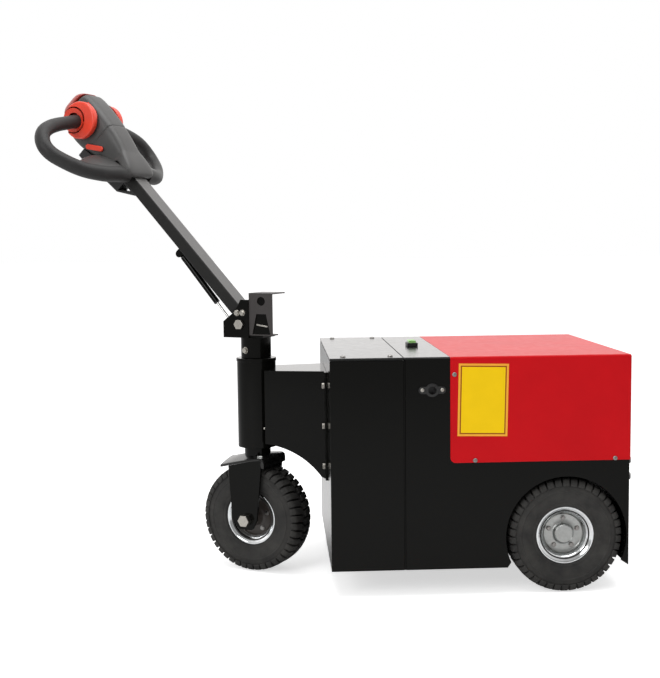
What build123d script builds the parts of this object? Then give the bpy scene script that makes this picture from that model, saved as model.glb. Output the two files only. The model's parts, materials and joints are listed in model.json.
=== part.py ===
from build123d import *
import math
import os

# Walk-behind battery tow tug: a steel box on two driven rear wheels, with a single
# steered front wheel under an upright stem that also carries the tilting tiller.
# Lengths are in millimetres. While it is modelled, x = 0 is the steering axis, +X points
# to the tow jaw, y = 0 is the middle plane and z = 0 is the floor.

# Wheels
WHEEL_R = 130.0
TYRE_W = 85.0
TREAD_INSET = 13.5
SHOULDER_INSET = 3.5
SHOULDER_DROP = 9.5
RIM_FLANGE_R = 65.0
RIM_SEAT_R = 53.0
RIM_DISC_R = 44.0
RIM_SHEET = 4.0
RIM_HALF_W = 33.0
RIM_CONE = 11.0
HUB_R = 24.0
HUB_SINK = 8.0
WHEELBASE = 690.0
TYRE_INSET = 3.0
ARCH_GAP = 6.0
RUN_FIT = 0.1

# Steel body
BODY_W = 530.0
FRONT_CLEAR = 34.0
BODY_BOTTOM = 62.0
SHEET = 4.0
REAR_MARGIN = 1.0
DECK_LEN = 103.0
GASKET_T = 3.0
GASKET_W = 12.0
GASKET_INSET = 3.0
LID_SETBACK = 1.0
COVER_RISE = 28.0
COVER_T = 2.5
COVER_EDGE_R = 5.0
COVER_CORNER_R = 12.0
COVER_LAP = 24.0
PANEL_GAP = 0.5
SKIRT_RISE = 14.0
SKIRT_RUN = 21.0
ARCH_FLARE_RUN = 14.0
ARCH_FLARE_RISE = 21.0
TRAY_GAP = 4.0

# Battery and drive
BATTERY_LEN = 330.0
BATTERY_W = 344.0
BATTERY_H = 222.0
BATTERY_GAP = 22.0
BATTERY_HEADROOM = 35.5
AXLE_TUBE_R = 32.0
SHAFT_R = 13.0
SHAFT_GRIP = 70.0
GEARBOX_R = 78.0
GEARBOX_W = 96.0
GEARBOX_CHAMFER = 12.0
MOTOR_R = 62.0
MOTOR_LEN = 150.0
MOTOR_CHAMFER = 10.0

# Tow jaw
JAW_Z = 230.0
JAW_MOUTH = 28.0
JAW_PLATE = 12.0
JAW_W = 84.0
JAW_REACH = 62.0
JAW_BASE_T = 12.0
JAW_BASE_W = 130.0
JAW_BASE_H = 116.0
PIN_BORE_R = 10.5

# Switch and charging socket
SWITCH_BACK = 53.0
SWITCH_LEN = 26.0
SWITCH_W = 40.0
SWITCH_H = 9.0
ROCKER_H = 6.0
ROCKER_RIM = 4.0
SOCKET_BACK = 40.0
SOCKET_DROP = 73.0
SOCKET_PITCH = 44.0
SOCKET_EAR_R = 8.0
SOCKET_BODY_R = 15.0
SOCKET_FLANGE_T = 3.0
SOCKET_LIP = 2.5
SOCKET_BORE_R = 9.0
SOCKET_DEPTH = 24.0

# Head tube, stem and neck
TUBE_R = 46.5
TUBE_RISE = 26.0
TUBE_LEN = 215.0
TUBE_COLLAR_R = 48.0
TUBE_COLLAR_H = 8.0
STEM_R = 31.5
STEM_TOP_R = 36.0
STEM_TOP_H = 49.0
STEM_GAP = 0.4
NECK_DROP = 27.0
NECK_NOSE_X = 19.0
NECK_NOSE_HALF = 58.0
NECK_BACK_HALF = 88.0
NECK_WALL = 6.0
NECK_ARCH_GAP = 56.0
NECK_DRAIN_R = 14.0
FLANGE_T = 5.0
FLANGE_HALF_W = 112.0
FLANGE_RISE = 105.0
BOLT_R = 4.0
BOLT_HEAD_R = 7.5
BOLT_HEAD_H = 6.0
FLANGE_BOLT_ROWS = 3
FLANGE_BOLT_EDGE = 32.5
FLANGE_BOLT_INSET = 12.0

# Fork
STEER_REST = -28.0
CROWN_HALF_W = 56.0
CROWN_FRONT = 73.0
CROWN_BACK = 46.0
CROWN_T = 6.0
CROWN_GAP = 16.0
CROWN_TILT = 12.8
CROWN_LIP = 26.0
LEG_T = 6.0
LEG_FRONT = 51.0
LEG_TOE_X = 42.0
LEG_HEEL_X = 25.0
LEG_DROP = 24.0
LEG_CORNER_R = 9.0
AXLE_LEAD = 4.0
FRONT_AXLE_R = 10.0
AXLE_END = 8.0
AXLE_HEAD_R = 15.0
AXLE_HEAD_H = 16.0
AXLE_SPACER_R = 16.0
SIDE_GAP = 0.4

# Tiller foot, with heights above the stem's top
PIVOT_S = 23.7
PIVOT_RISE = 32.0
PIVOT_R = 8.0
PIVOT_HEAD_R = 12.5
PIVOT_HEAD_H = 8.0
PIVOT_SPACER_R = 14.0
FOOT_PLATE_T = 6.0
CHEEK_T = 5.0
CHEEK_HALF_GAP = 31.0
CHEEK_FRONT = 69.0
CHEEK_SHOULDER = 39.0
CHEEK_WAIST_X = 36.0
CHEEK_WAIST = 64.0
CHEEK_CREST_X = 21.0
CHEEK_CREST = 91.0
BRACKET_LEN = 63.0
BRACKET_HALF_W = 33.0
BRACKET_SHELF_W = 29.0
BRACKET_RISE = 107.0
BRACKET_T = 3.0
BRACKET_HOLE_X = 33.0
BRACKET_HOLE_R = 10.5
BRACKET_HOLE_DROP = 19.5
BRACKET_CUT_DROP = 50.0
BRACKET_CUT_TOP_W = 25.5
BRACKET_CUT_FOOT_W = 48.0
SWITCH_PLATE_EDGE = 5.0
SWITCH_BOX_X = 30.0
SWITCH_BOX_LEN = 24.0
SWITCH_BOX_T = 13.0
SWITCH_BOX_H = 50.0

# Tiller arm, in the tiller's own frame: t runs up the arm from the pivot, p points to its
# upper face and b across it towards the near side
TILT_REST = 43.0
ARM_T = 30.0
ARM_W = 50.0
ARM_P = -4.5
ARM_WALL = 3.0
ARM_START = 38.0
ARM_END = 526.0
ARM_EDGE_R = 3.0
KNUCKLE_R = 18.0
KNUCKLE_TONGUE = 55.0
HEEL_P = 43.0
HEEL_T = 36.0

# Gas spring
SPRING_TOP_T = 248.0
SPRING_TOP_P = -19.0
SPRING_FOOT_S = 57.0
SPRING_FOOT_DROP = 8.0
SPRING_R = 7.5
SPRING_LEN = 156.0
SPRING_EYE_R = 9.0
SPRING_EYE_HALF_W = 6.0
SPRING_NECK = 2.0
SPRING_PIN_R = 4.0
SPRING_EAR_T = 4.0
SPRING_WALL_AT_EYE = 12.0
ROD_R = 3.0
ROD_FIT = 0.2
ROD_GRIP = 60.0
ROD_EYE_R = 7.0
STUD_R = 4.0
STUD_GAP = 0.3

# Tiller head: cross-sections as (t, lowest p, highest p, half width)
HEAD_NECK = ((462.0, 25.5, 38.0, 34.0), (480.0, 25.5, 49.0, 38.0), (526.0, 25.5, 57.0, 41.0))
HEAD_BODY = ((526.0, -6.0, 57.0, 41.0), (570.0, -11.0, 64.0, 44.0), (610.0, -23.0, 68.0, 46.0),
             (650.0, -31.0, 69.0, 47.0), (690.0, -29.0, 69.0, 46.0), (716.0, -19.0, 67.0, 44.0))
HEAD_NOSE = ((716.0, -19.0, 67.0, 44.0), (728.0, -13.0, 61.0, 38.0), (737.0, -4.0, 50.0, 30.0),
             (742.0, 8.0, 36.0, 18.0))
HEAD_EDGE_R = 12.0
NECK_EDGE_R = 5.0
WING_R = 46.0
WING_INNER_R = 29.5
WING_SHIFT = 11.0
WING_MOUTH = 52.0
WING_TIP_R = 3.0
WING_SEAT = 44.0
WING_OUT = 63.0
BUTTON_T = 590.0
BUTTON_P = 2.5
BUTTON_TURN = -54.0
BUTTON_LEN = 52.0
BUTTON_W = 13.0
BUTTON_SEAT = 38.0
BUTTON_OUT = 49.0

# Grip loops: corners of each loop's line as (t, p, b), the palm plates and the base
LOOP_R = 18.0
LOOP_ROOT = (668.5, 21.0, 30.0)
LOOP_HORN = (645.0, 0.0, 197.0)
LOOP_SIDE = (578.0, -24.0, 233.0)
LOOP_HEEL = (483.0, 3.0, 122.0)
LOOP_FOOT = (479.0, 20.0, 30.0)
LOOP_RADII = (80.0, 50.0, 140.0)
WING_OVER_ROOT = 4.0
WING_BEHIND_ROOT = 5.5
WING_P = LOOP_ROOT[1] + WING_OVER_ROOT
WING_T = LOOP_ROOT[0] - WING_BEHIND_ROOT
PALM_ROOT_B = 30.0
PALM_HIGH = (577.0, -5.0)
PALM_MID = (525.0, 6.0)
PALM_LOW = (490.0, 12.0)
PALM_T = 18.0
PALM_EDGE = (548.0, 150.0)
BASE_LOW_T = 430.0
BASE_KEEL = (518.0, -43.0)
BASE_STEM = (480.0, -39.0)
BASE_TOE_T = 437.0
BASE_HALF_W = 20.0
BASE_WINDOW = (452.0, 481.0)
BASE_WALL = 5.0
SHELL_FRONT_T = 615.0
SHELL_TOP_P = -24.0
SHELL_LOW_P = -47.0
SHELL_HALF_W = 42.0

# Derived places
AXLE_Z = WHEEL_R
ARCH_R = WHEEL_R + ARCH_GAP
BODY_FRONT = WHEEL_R + FRONT_CLEAR
BODY_REAR = WHEELBASE + ARCH_R + SHEET + REAR_MARGIN
SIDE_Y = BODY_W / 2
INNER_Y = SIDE_Y - SHEET
WHEEL_Y = SIDE_Y - TYRE_INSET - TYRE_W / 2
WELL_Y = WHEEL_Y - TYRE_W / 2 - ARCH_GAP
TRAY_Z = AXLE_Z + ARCH_R + SHEET + TRAY_GAP
BODY_TOP = TRAY_Z + SHEET + BATTERY_H + BATTERY_HEADROOM + COVER_T
TOP_UNDERSIDE = BODY_TOP - SHEET
COVER_FRONT = BODY_REAR - SHEET - 2 * BATTERY_GAP - BATTERY_LEN - COVER_LAP
COVER_BOTTOM = TRAY_Z + COVER_RISE
BULKHEAD_X = COVER_FRONT - DECK_LEN
MAIN_FRONT = BULKHEAD_X + SHEET
SWITCH_X = COVER_FRONT - SWITCH_BACK
SOCKET_X = COVER_FRONT - SOCKET_BACK
SOCKET_Z = BODY_TOP - SOCKET_DROP
JAW_PIN_X = BODY_REAR + JAW_BASE_T + JAW_REACH - JAW_W / 2 + JAW_PLATE
CROWN_Z = 2 * WHEEL_R + CROWN_GAP
TUBE_BOTTOM = CROWN_Z + TUBE_RISE
TUBE_TOP = TUBE_BOTTOM + TUBE_LEN
NECK_TOP = TUBE_TOP - NECK_DROP
FLANGE_X = BODY_FRONT - FLANGE_T
FLANGE_BOTTOM = AXLE_Z + FLANGE_RISE
LEG_OUT = CROWN_HALF_W
LEG_IN = CROWN_HALF_W - LEG_T
HUB_HALF = LEG_IN - AXLE_END
STEM_TOP = TUBE_TOP + STEM_TOP_H
FOOT_TOP = STEM_TOP + FOOT_PLATE_T
PIVOT_Z = STEM_TOP + PIVOT_RISE
BRACKET_TOP = STEM_TOP + BRACKET_RISE
CHEEK_OUT = CHEEK_HALF_GAP + CHEEK_T
KNUCKLE_HALF_W = ARM_W / 2 - ARM_WALL
SPRING_FOOT_Z = PIVOT_Z - SPRING_FOOT_DROP

nodes = {}


def block(x0, x1, y0, y1, z0, z1):
    """A plain block between two corners."""
    size = Box(x1 - x0, y1 - y0, z1 - z0)
    return Pos((x0 + x1) / 2, (y0 + y1) / 2, (z0 + z1) / 2) * size


def side_cut(sketch, y0, y1):
    """A side-view outline (x, z) carried across from y0 to y1."""
    return extrude(Plane.XZ.offset(-y1) * sketch, amount=y1 - y0)


def outline(*points):
    """A flat face with straight edges through the given points."""
    return make_face(Polyline(*points, close=True))


def bar_x(radius, x0, x1, y, z):
    return Pos((x0 + x1) / 2, y, z) * Rot(0, 90, 0) * Cylinder(radius, x1 - x0)


def bar_y(radius, y0, y1, x, z):
    return Pos(x, (y0 + y1) / 2, z) * Rot(90, 0, 0) * Cylinder(radius, y1 - y0)


def bar_z(radius, z0, z1, x=0.0, y=0.0):
    return Pos(x, y, (z0 + z1) / 2) * Cylinder(radius, z1 - z0)


def hexagon_y(radius, y0, y1, x, z):
    return side_cut(Pos(x, z) * RegularPolygon(radius, 6), y0, y1)


def hexagon_x(radius, x0, x1, y, z):
    return extrude(Plane.YZ.offset(x0) * (Pos(y, z) * RegularPolygon(radius, 6)), amount=x1 - x0)


def steered(part):
    """Turn a piece modelled with the tiller straight ahead to the parked steering angle."""
    return Rot(0, 0, STEER_REST) * part


def tilted(part):
    """Carry a piece from the tiller's own frame (p along x, t along z) to its parked tilt."""
    return steered(Pos(-PIVOT_S, 0, PIVOT_Z) * Rot(0, -TILT_REST, 0) * part)


# Wheels

def tyre():
    """Tyre standing across y, its bead seated on the rim and its tread at the full radius."""
    half = TYRE_W / 2
    bead = RIM_HALF_W - RIM_SHEET
    flank_r = (WHEEL_R + RIM_FLANGE_R) / 2
    shoulder = (WHEEL_R - SHOULDER_DROP, half - SHOULDER_INSET)
    with BuildSketch(Plane.XY) as section:
        with BuildLine():
            Polyline((RIM_SEAT_R, bead), (RIM_FLANGE_R, bead))
            ThreePointArc((RIM_FLANGE_R, bead), (flank_r, half), shoulder)
            Polyline(shoulder, (WHEEL_R, half - TREAD_INSET), (WHEEL_R, 0), (RIM_SEAT_R, 0), (RIM_SEAT_R, bead))
        make_face()
        mirror(about=Plane.XZ)
    return revolve(section.sketch, axis=Axis.Y)


def rim(core):
    """Pressed rim: two flanges, a cone down to the dished disc, and a hub with the given core."""
    bead = RIM_HALF_W - RIM_SHEET
    barrel_r = RIM_SEAT_R - RIM_SHEET
    lip_r = RIM_FLANGE_R - RIM_SHEET
    cone_y = RIM_HALF_W - RIM_CONE
    disc_y = cone_y - RIM_CONE
    back_y = disc_y - RIM_SHEET
    tyre_side = [(RIM_FLANGE_R, RIM_HALF_W), (RIM_FLANGE_R, bead), (RIM_SEAT_R, bead), (RIM_SEAT_R, -bead),
                 (RIM_FLANGE_R, -bead), (RIM_FLANGE_R, -RIM_HALF_W)]
    back = [(lip_r, -RIM_HALF_W), (barrel_r, -cone_y), (barrel_r, back_y - RIM_CONE), (RIM_DISC_R, back_y),
            (HUB_R, back_y)]
    front = [(HUB_R, disc_y), (RIM_DISC_R, disc_y), (barrel_r, cone_y), (lip_r, RIM_HALF_W)]
    return revolve(outline(*tyre_side, *back, *core, *front), axis=Axis.Y)


def front_wheel():
    bore = FRONT_AXLE_R + RUN_FIT
    core = [(HUB_R, -HUB_HALF), (bore, -HUB_HALF), (bore, HUB_HALF), (HUB_R, HUB_HALF)]
    place = Pos(-AXLE_LEAD, 0, AXLE_Z)
    nodes["front_tyre"] = steered(place * tyre())
    nodes["front_rim"] = steered(place * mirror(rim(core), about=Plane.XZ))


def rear_wheels():
    hub_in = -TYRE_W / 2
    hub_out = RIM_HALF_W - HUB_SINK
    shaft_end = WELL_Y - SHEET - SHAFT_GRIP - WHEEL_Y
    shaft = [(SHAFT_R, hub_in), (SHAFT_R, shaft_end), (0, shaft_end), (0, hub_out)]
    core = [(HUB_R, hub_in), *shaft, (HUB_R, hub_out)]
    wheel = rim(core)
    near = Pos(WHEELBASE, -WHEEL_Y, AXLE_Z)
    far = Pos(WHEELBASE, WHEEL_Y, AXLE_Z)
    nodes["rear_tyre_near"] = near * tyre()
    nodes["rear_rim_near"] = near * mirror(wheel, about=Plane.XZ)
    nodes["rear_tyre_far"] = far * tyre()
    nodes["rear_rim_far"] = far * wheel


# Steel body

def side_panel():
    """Main side sheet on the far side, with the round wheel arch and the step under the cover."""
    lap_x = COVER_FRONT + COVER_LAP
    lap_z = COVER_BOTTOM + COVER_LAP
    sheet = outline((MAIN_FRONT, BODY_BOTTOM), (BODY_REAR, BODY_BOTTOM), (BODY_REAR, lap_z), (lap_x, lap_z),
                    (lap_x, TOP_UNDERSIDE), (MAIN_FRONT, TOP_UNDERSIDE))
    arch = Pos(WHEELBASE, AXLE_Z) * Circle(ARCH_R)
    foot = math.sqrt(ARCH_R ** 2 - (AXLE_Z - BODY_BOTTOM) ** 2)
    flare = outline((WHEELBASE - foot - ARCH_FLARE_RUN, BODY_BOTTOM), (WHEELBASE, BODY_BOTTOM),
                    (WHEELBASE - foot, BODY_BOTTOM + ARCH_FLARE_RISE))
    skirt = outline((WHEELBASE, BODY_BOTTOM), (BODY_REAR, BODY_BOTTOM),
                    (BODY_REAR - SKIRT_RUN, BODY_BOTTOM + SKIRT_RISE), (WHEELBASE, BODY_BOTTOM + SKIRT_RISE))
    return side_cut(sheet - arch - flare - skirt, INNER_Y, SIDE_Y)


def wheel_well():
    """Half-round mudguard over the far rear wheel, closed by an inner wall round the axle tube."""
    outer = Circle(ARCH_R + SHEET)
    ring = Pos(WHEELBASE, AXLE_Z) * (outer - Circle(ARCH_R))
    wall = Pos(WHEELBASE, AXLE_Z) * (outer - Circle(AXLE_TUBE_R))
    guard = side_cut(ring, WELL_Y, INNER_Y) + side_cut(wall, WELL_Y - SHEET, WELL_Y)
    reach = 2 * ARCH_R
    below = block(WHEELBASE - reach, WHEELBASE + reach, 0, SIDE_Y, -reach, BODY_BOTTOM + SKIRT_RISE)
    behind = block(BODY_REAR - SHEET, WHEELBASE + reach, 0, SIDE_Y, 0, reach * 2)
    return guard - below - behind


def steel_body():
    front_walls = block(BODY_FRONT, BULKHEAD_X, -SIDE_Y, SIDE_Y, BODY_BOTTOM, TOP_UNDERSIDE - GASKET_T)
    hollow = block(BODY_FRONT + SHEET, BULKHEAD_X, -INNER_Y, INNER_Y, BODY_BOTTOM + SHEET, BODY_TOP)
    nodes["front_box"] = front_walls - hollow
    groove_y = INNER_Y + SHEET / 2
    nodes["bulkhead"] = block(BULKHEAD_X, MAIN_FRONT, -groove_y, groove_y, BODY_BOTTOM,
                              TOP_UNDERSIDE - GASKET_T)
    seal_front = BODY_FRONT + GASKET_INSET
    seal_y = SIDE_Y - GASKET_INSET
    seal = block(seal_front, BULKHEAD_X, -seal_y, seal_y, TOP_UNDERSIDE - GASKET_T, TOP_UNDERSIDE)
    seal_hole = block(seal_front + GASKET_W, BULKHEAD_X - GASKET_W, -seal_y + GASKET_W, seal_y - GASKET_W,
                      TOP_UNDERSIDE - GASKET_T, TOP_UNDERSIDE)
    nodes["lid_gasket"] = seal - seal_hole
    lid = block(BODY_FRONT, BULKHEAD_X - LID_SETBACK, -SIDE_Y, SIDE_Y, TOP_UNDERSIDE, BODY_TOP)
    nodes["front_lid"] = fillet(lid.edges().filter_by(Axis.X).group_by(Axis.Z)[-1], SHEET / 2)
    deck = block(BULKHEAD_X + LID_SETBACK, COVER_FRONT - PANEL_GAP, -SIDE_Y, SIDE_Y, TOP_UNDERSIDE, BODY_TOP)
    deck = fillet(deck.edges().filter_by(Axis.X).group_by(Axis.Z)[-1], SHEET / 2)
    key_x = SWITCH_LEN / 2 - ROCKER_RIM
    key_y = SWITCH_W / 2 - ROCKER_RIM
    nodes["switch_deck"] = deck - block(SWITCH_X - key_x, SWITCH_X + key_x, -key_y, key_y, TOP_UNDERSIDE, BODY_TOP)
    panel = side_panel()
    well = wheel_well()
    nodes["side_panel_far"] = panel
    socket_hole = bar_y(SOCKET_BODY_R - SOCKET_FLANGE_T, -SIDE_Y, -INNER_Y, SOCKET_X, SOCKET_Z)
    nodes["side_panel_near"] = mirror(panel, about=Plane.XZ) - socket_hole
    nodes["wheel_wells"] = Compound([well, mirror(well, about=Plane.XZ)])
    floor_end = WHEELBASE - ARCH_R - SHEET
    nodes["floor_pan"] = block(MAIN_FRONT, floor_end, -INNER_Y, INNER_Y, BODY_BOTTOM, BODY_BOTTOM + SHEET)
    nodes["rear_panel"] = block(BODY_REAR - SHEET, BODY_REAR, -INNER_Y, INNER_Y, BODY_BOTTOM + SKIRT_RISE,
                                COVER_BOTTOM + COVER_LAP)
    tray_front = COVER_FRONT + COVER_LAP
    tray_back = BODY_REAR - SHEET
    nodes["battery_tray"] = block(tray_front, tray_back, -INNER_Y, INNER_Y, TRAY_Z, TRAY_Z + SHEET)
    battery_mid = (tray_front + tray_back) / 2
    nodes["battery_pack"] = block(battery_mid - BATTERY_LEN / 2, battery_mid + BATTERY_LEN / 2, -BATTERY_W / 2,
                                  BATTERY_W / 2, TRAY_Z + SHEET, TRAY_Z + SHEET + BATTERY_H)


def rear_cover():
    """Red folded cover: top, two side skirts and a back, lapping outside the black sheets."""
    skirt_y = SIDE_Y + COVER_T
    back = BODY_REAR + COVER_T
    shell = block(COVER_FRONT, back, -skirt_y, skirt_y, COVER_BOTTOM, BODY_TOP)
    upright = shell.edges().filter_by(Axis.Z).group_by(Axis.X)[-1]
    rim_edges = shell.faces().sort_by(Axis.Z)[-1].edges()
    open_edge = rim_edges.sort_by(Axis.X)[0]
    shell = fillet(upright + [edge for edge in rim_edges if edge != open_edge], COVER_EDGE_R)
    hollow = block(COVER_FRONT, BODY_REAR, -SIDE_Y, SIDE_Y, COVER_BOTTOM, BODY_TOP - COVER_T)
    shell -= hollow
    corner = outline((COVER_FRONT, COVER_BOTTOM), (COVER_FRONT + COVER_CORNER_R, COVER_BOTTOM),
                     (COVER_FRONT, COVER_BOTTOM + COVER_CORNER_R))
    round_off = Pos(COVER_FRONT + COVER_CORNER_R, COVER_BOTTOM + COVER_CORNER_R) * Circle(COVER_CORNER_R)
    nodes["rear_cover"] = shell - side_cut(corner - round_off, -skirt_y, skirt_y)


def drive_unit():
    """Drive axle under the tray: tube from well to well, gear case and motor."""
    tube_end = WELL_Y
    tube = bar_y(AXLE_TUBE_R, -tube_end, tube_end, WHEELBASE, AXLE_Z)
    case = bar_y(GEARBOX_R, -GEARBOX_W / 2, GEARBOX_W / 2, WHEELBASE, AXLE_Z)
    case = chamfer(case.edges().filter_by(GeomType.CIRCLE), GEARBOX_CHAMFER)
    motor = bar_x(MOTOR_R, WHEELBASE - GEARBOX_R / 2 - MOTOR_LEN, WHEELBASE, 0, AXLE_Z)
    motor = chamfer(motor.edges().filter_by(GeomType.CIRCLE).sort_by(Axis.X)[0], MOTOR_CHAMFER)
    drive = tube + case + motor
    bore_end = WELL_Y - SHEET - SHAFT_GRIP - RUN_FIT
    for sign in (-1, 1):
        ends = sorted((sign * bore_end, sign * tube_end))
        drive -= bar_y(SHAFT_R + RUN_FIT, ends[0], ends[1], WHEELBASE, AXLE_Z)
    nodes["drive_unit"] = drive


def tow_jaw():
    """Bolted base plate with two round-ended jaws, bored for a drawbar pin."""
    base_x = BODY_REAR + JAW_BASE_T
    base_y = JAW_BASE_W / 2
    jaws = block(BODY_REAR, base_x, -base_y, base_y, JAW_Z - JAW_BASE_H / 2, JAW_Z + JAW_BASE_H / 2)
    tongue = Pos((base_x + JAW_PIN_X) / 2, 0) * Rectangle(JAW_PIN_X - base_x, JAW_W)
    tongue += Pos(JAW_PIN_X, 0) * Circle(JAW_W / 2)
    tongue -= Pos(base_x - JAW_W / 2, 0) * Rectangle(JAW_W, 2 * JAW_W)
    for z0 in (JAW_Z - JAW_MOUTH / 2 - JAW_PLATE, JAW_Z + JAW_MOUTH / 2):
        jaws += extrude(Plane.XY.offset(z0) * tongue, amount=JAW_PLATE)
    nodes["tow_jaw"] = jaws - bar_z(PIN_BORE_R, 0, BODY_TOP, JAW_PIN_X, 0)


def controls_on_body():
    frame = Rectangle(SWITCH_LEN, SWITCH_W)
    rocker = Rectangle(SWITCH_LEN - 2 * ROCKER_RIM, SWITCH_W - 2 * ROCKER_RIM)
    bezel = extrude(Plane.XY.offset(BODY_TOP) * (Pos(SWITCH_X, 0) * frame), amount=SWITCH_H)
    key = Pos(SWITCH_X, 0, TOP_UNDERSIDE) * extrude(rocker, amount=SHEET + SWITCH_H + ROCKER_H)
    nodes["power_switch"] = bezel + chamfer(key.edges().group_by(Axis.Z)[-1], ROCKER_RIM / 2)
    ears = Rectangle(SOCKET_PITCH, 2 * SOCKET_EAR_R)
    for shift in (-SOCKET_PITCH / 2, SOCKET_PITCH / 2):
        ears += Pos(shift, 0) * Circle(SOCKET_EAR_R)
    face = Pos(SOCKET_X, SOCKET_Z) * (ears + Circle(SOCKET_BODY_R))
    plate_y = -SIDE_Y - SOCKET_FLANGE_T
    socket = side_cut(face, plate_y, -SIDE_Y)
    barrel_r = SOCKET_BODY_R - SOCKET_FLANGE_T
    socket += bar_y(barrel_r, plate_y - SOCKET_LIP, -SIDE_Y + SOCKET_DEPTH, SOCKET_X, SOCKET_Z)
    socket -= bar_y(SOCKET_BORE_R, plate_y - SOCKET_LIP, -SIDE_Y + SOCKET_DEPTH / 2, SOCKET_X, SOCKET_Z)
    nodes["charge_socket"] = socket


# Neck and head tube

def neck():
    """Welded box from the head tube back to a bolted flange, arched over the front wheel."""
    plan = outline((NECK_NOSE_X, -NECK_NOSE_HALF), (FLANGE_X, -NECK_BACK_HALF), (FLANGE_X, NECK_BACK_HALF),
                   (NECK_NOSE_X, NECK_NOSE_HALF))
    arch_r = WHEEL_R + NECK_ARCH_GAP
    arch = Pos(0, AXLE_Z) * Circle(arch_r)
    profile = outline((NECK_NOSE_X, TUBE_BOTTOM), (FLANGE_X, FLANGE_BOTTOM), (FLANGE_X, NECK_TOP),
                      (NECK_NOSE_X, NECK_TOP))
    half = NECK_BACK_HALF
    body = extrude(plan, amount=NECK_TOP) & side_cut(profile - arch, -half, half)
    inside = offset(plan, -NECK_WALL, kind=Kind.INTERSECTION)
    cavity_profile = outline((NECK_NOSE_X, TUBE_BOTTOM), (FLANGE_X - NECK_WALL, FLANGE_BOTTOM),
                             (FLANGE_X - NECK_WALL, NECK_TOP - NECK_WALL), (NECK_NOSE_X, NECK_TOP - NECK_WALL))
    cavity_profile -= Pos(0, AXLE_Z) * Circle(arch_r + NECK_WALL)
    body -= extrude(inside, amount=NECK_TOP) & side_cut(cavity_profile, -half, half)
    drain_x = (NECK_NOSE_X + FLANGE_X) / 2
    body -= bar_z(NECK_DRAIN_R, 0, (TUBE_BOTTOM + NECK_TOP) / 2, drain_x, 0)
    body -= bar_z(TUBE_R, 0, BODY_TOP)
    flange = block(FLANGE_X, BODY_FRONT, -FLANGE_HALF_W, FLANGE_HALF_W, FLANGE_BOTTOM, NECK_TOP)
    row_pitch = (NECK_TOP - FLANGE_BOTTOM - 2 * FLANGE_BOLT_EDGE) / (FLANGE_BOLT_ROWS - 1)
    bolts = []
    for sign in (-1, 1):
        y = sign * (FLANGE_HALF_W - FLANGE_BOLT_INSET)
        for row in range(FLANGE_BOLT_ROWS):
            z = FLANGE_BOTTOM + FLANGE_BOLT_EDGE + row * row_pitch
            shank = bar_x(BOLT_R, FLANGE_X, BODY_FRONT, y, z)
            flange -= shank
            bolts.append(shank + hexagon_x(BOLT_HEAD_R, FLANGE_X - BOLT_HEAD_H, FLANGE_X, y, z))
    nodes["neck"] = body + flange
    nodes["flange_bolts"] = Compound(bolts)
    tube = bar_z(TUBE_R, TUBE_BOTTOM, TUBE_TOP)
    tube += bar_z(TUBE_COLLAR_R, TUBE_TOP - TUBE_COLLAR_H, TUBE_TOP)
    nodes["head_tube"] = tube - bar_z(STEM_R + RUN_FIT, TUBE_BOTTOM, TUBE_TOP)


# Steering

def crown_top(x):
    """Height of the crown's upper face, which falls towards the front."""
    return CROWN_Z + x * math.tan(math.radians(CROWN_TILT))


def fork():
    drop = CROWN_T / math.cos(math.radians(CROWN_TILT))
    lip_x = CROWN_BACK - CROWN_T
    lip_z = crown_top(CROWN_BACK) - CROWN_LIP
    front_z = crown_top(-CROWN_FRONT)
    bent = outline((-CROWN_FRONT, front_z), (CROWN_BACK, crown_top(CROWN_BACK)), (CROWN_BACK, lip_z), (lip_x, lip_z),
                   (lip_x, crown_top(lip_x) - drop), (-CROWN_FRONT, front_z - drop))
    crown = side_cut(bent, -CROWN_HALF_W, CROWN_HALF_W)
    nodes["fork_crown"] = steered(fillet(crown.edges().filter_by(Axis.Y).sort_by(Axis.Z)[-1], CROWN_T / 2))
    shin = outline((-LEG_FRONT, crown_top(-LEG_FRONT) - drop), (lip_x, crown_top(lip_x) - drop),
                   (LEG_HEEL_X, AXLE_Z), (LEG_HEEL_X / 2, AXLE_Z - LEG_DROP), (-LEG_HEEL_X, AXLE_Z - LEG_DROP),
                   (-LEG_TOE_X, AXLE_Z))
    shin = fillet(shin.vertices().group_by(Axis.Y)[0] + shin.vertices().group_by(Axis.Y)[1], LEG_CORNER_R)
    shin -= Pos(-AXLE_LEAD, AXLE_Z) * Circle(FRONT_AXLE_R)
    legs = [side_cut(shin, -LEG_OUT, -LEG_IN), side_cut(shin, LEG_IN, LEG_OUT)]
    nodes["fork_legs"] = steered(Compound(legs))
    axle = bar_y(FRONT_AXLE_R, -LEG_OUT, LEG_OUT, -AXLE_LEAD, AXLE_Z)
    for y0, y1 in ((-LEG_IN, -HUB_HALF - SIDE_GAP), (HUB_HALF + SIDE_GAP, LEG_IN)):
        axle += bar_y(AXLE_SPACER_R, y0, y1, -AXLE_LEAD, AXLE_Z)
    for y0, y1 in ((-LEG_OUT - AXLE_HEAD_H, -LEG_OUT), (LEG_OUT, LEG_OUT + AXLE_HEAD_H)):
        axle += hexagon_y(AXLE_HEAD_R, y0, y1, -AXLE_LEAD, AXLE_Z)
    nodes["front_axle"] = steered(axle)
    low = crown_top(-STEM_R)
    stem = bar_z(STEM_R, low, TUBE_TOP + STEM_GAP) + bar_z(STEM_TOP_R, TUBE_TOP + STEM_GAP, STEM_TOP)
    under = outline((-CROWN_FRONT, low - CROWN_FRONT), (CROWN_FRONT, low - CROWN_FRONT),
                    (CROWN_FRONT, crown_top(CROWN_FRONT)), (-CROWN_FRONT, crown_top(-CROWN_FRONT)))
    nodes["steering_stem"] = steered(stem - side_cut(under, -CROWN_HALF_W, CROWN_HALF_W))


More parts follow.
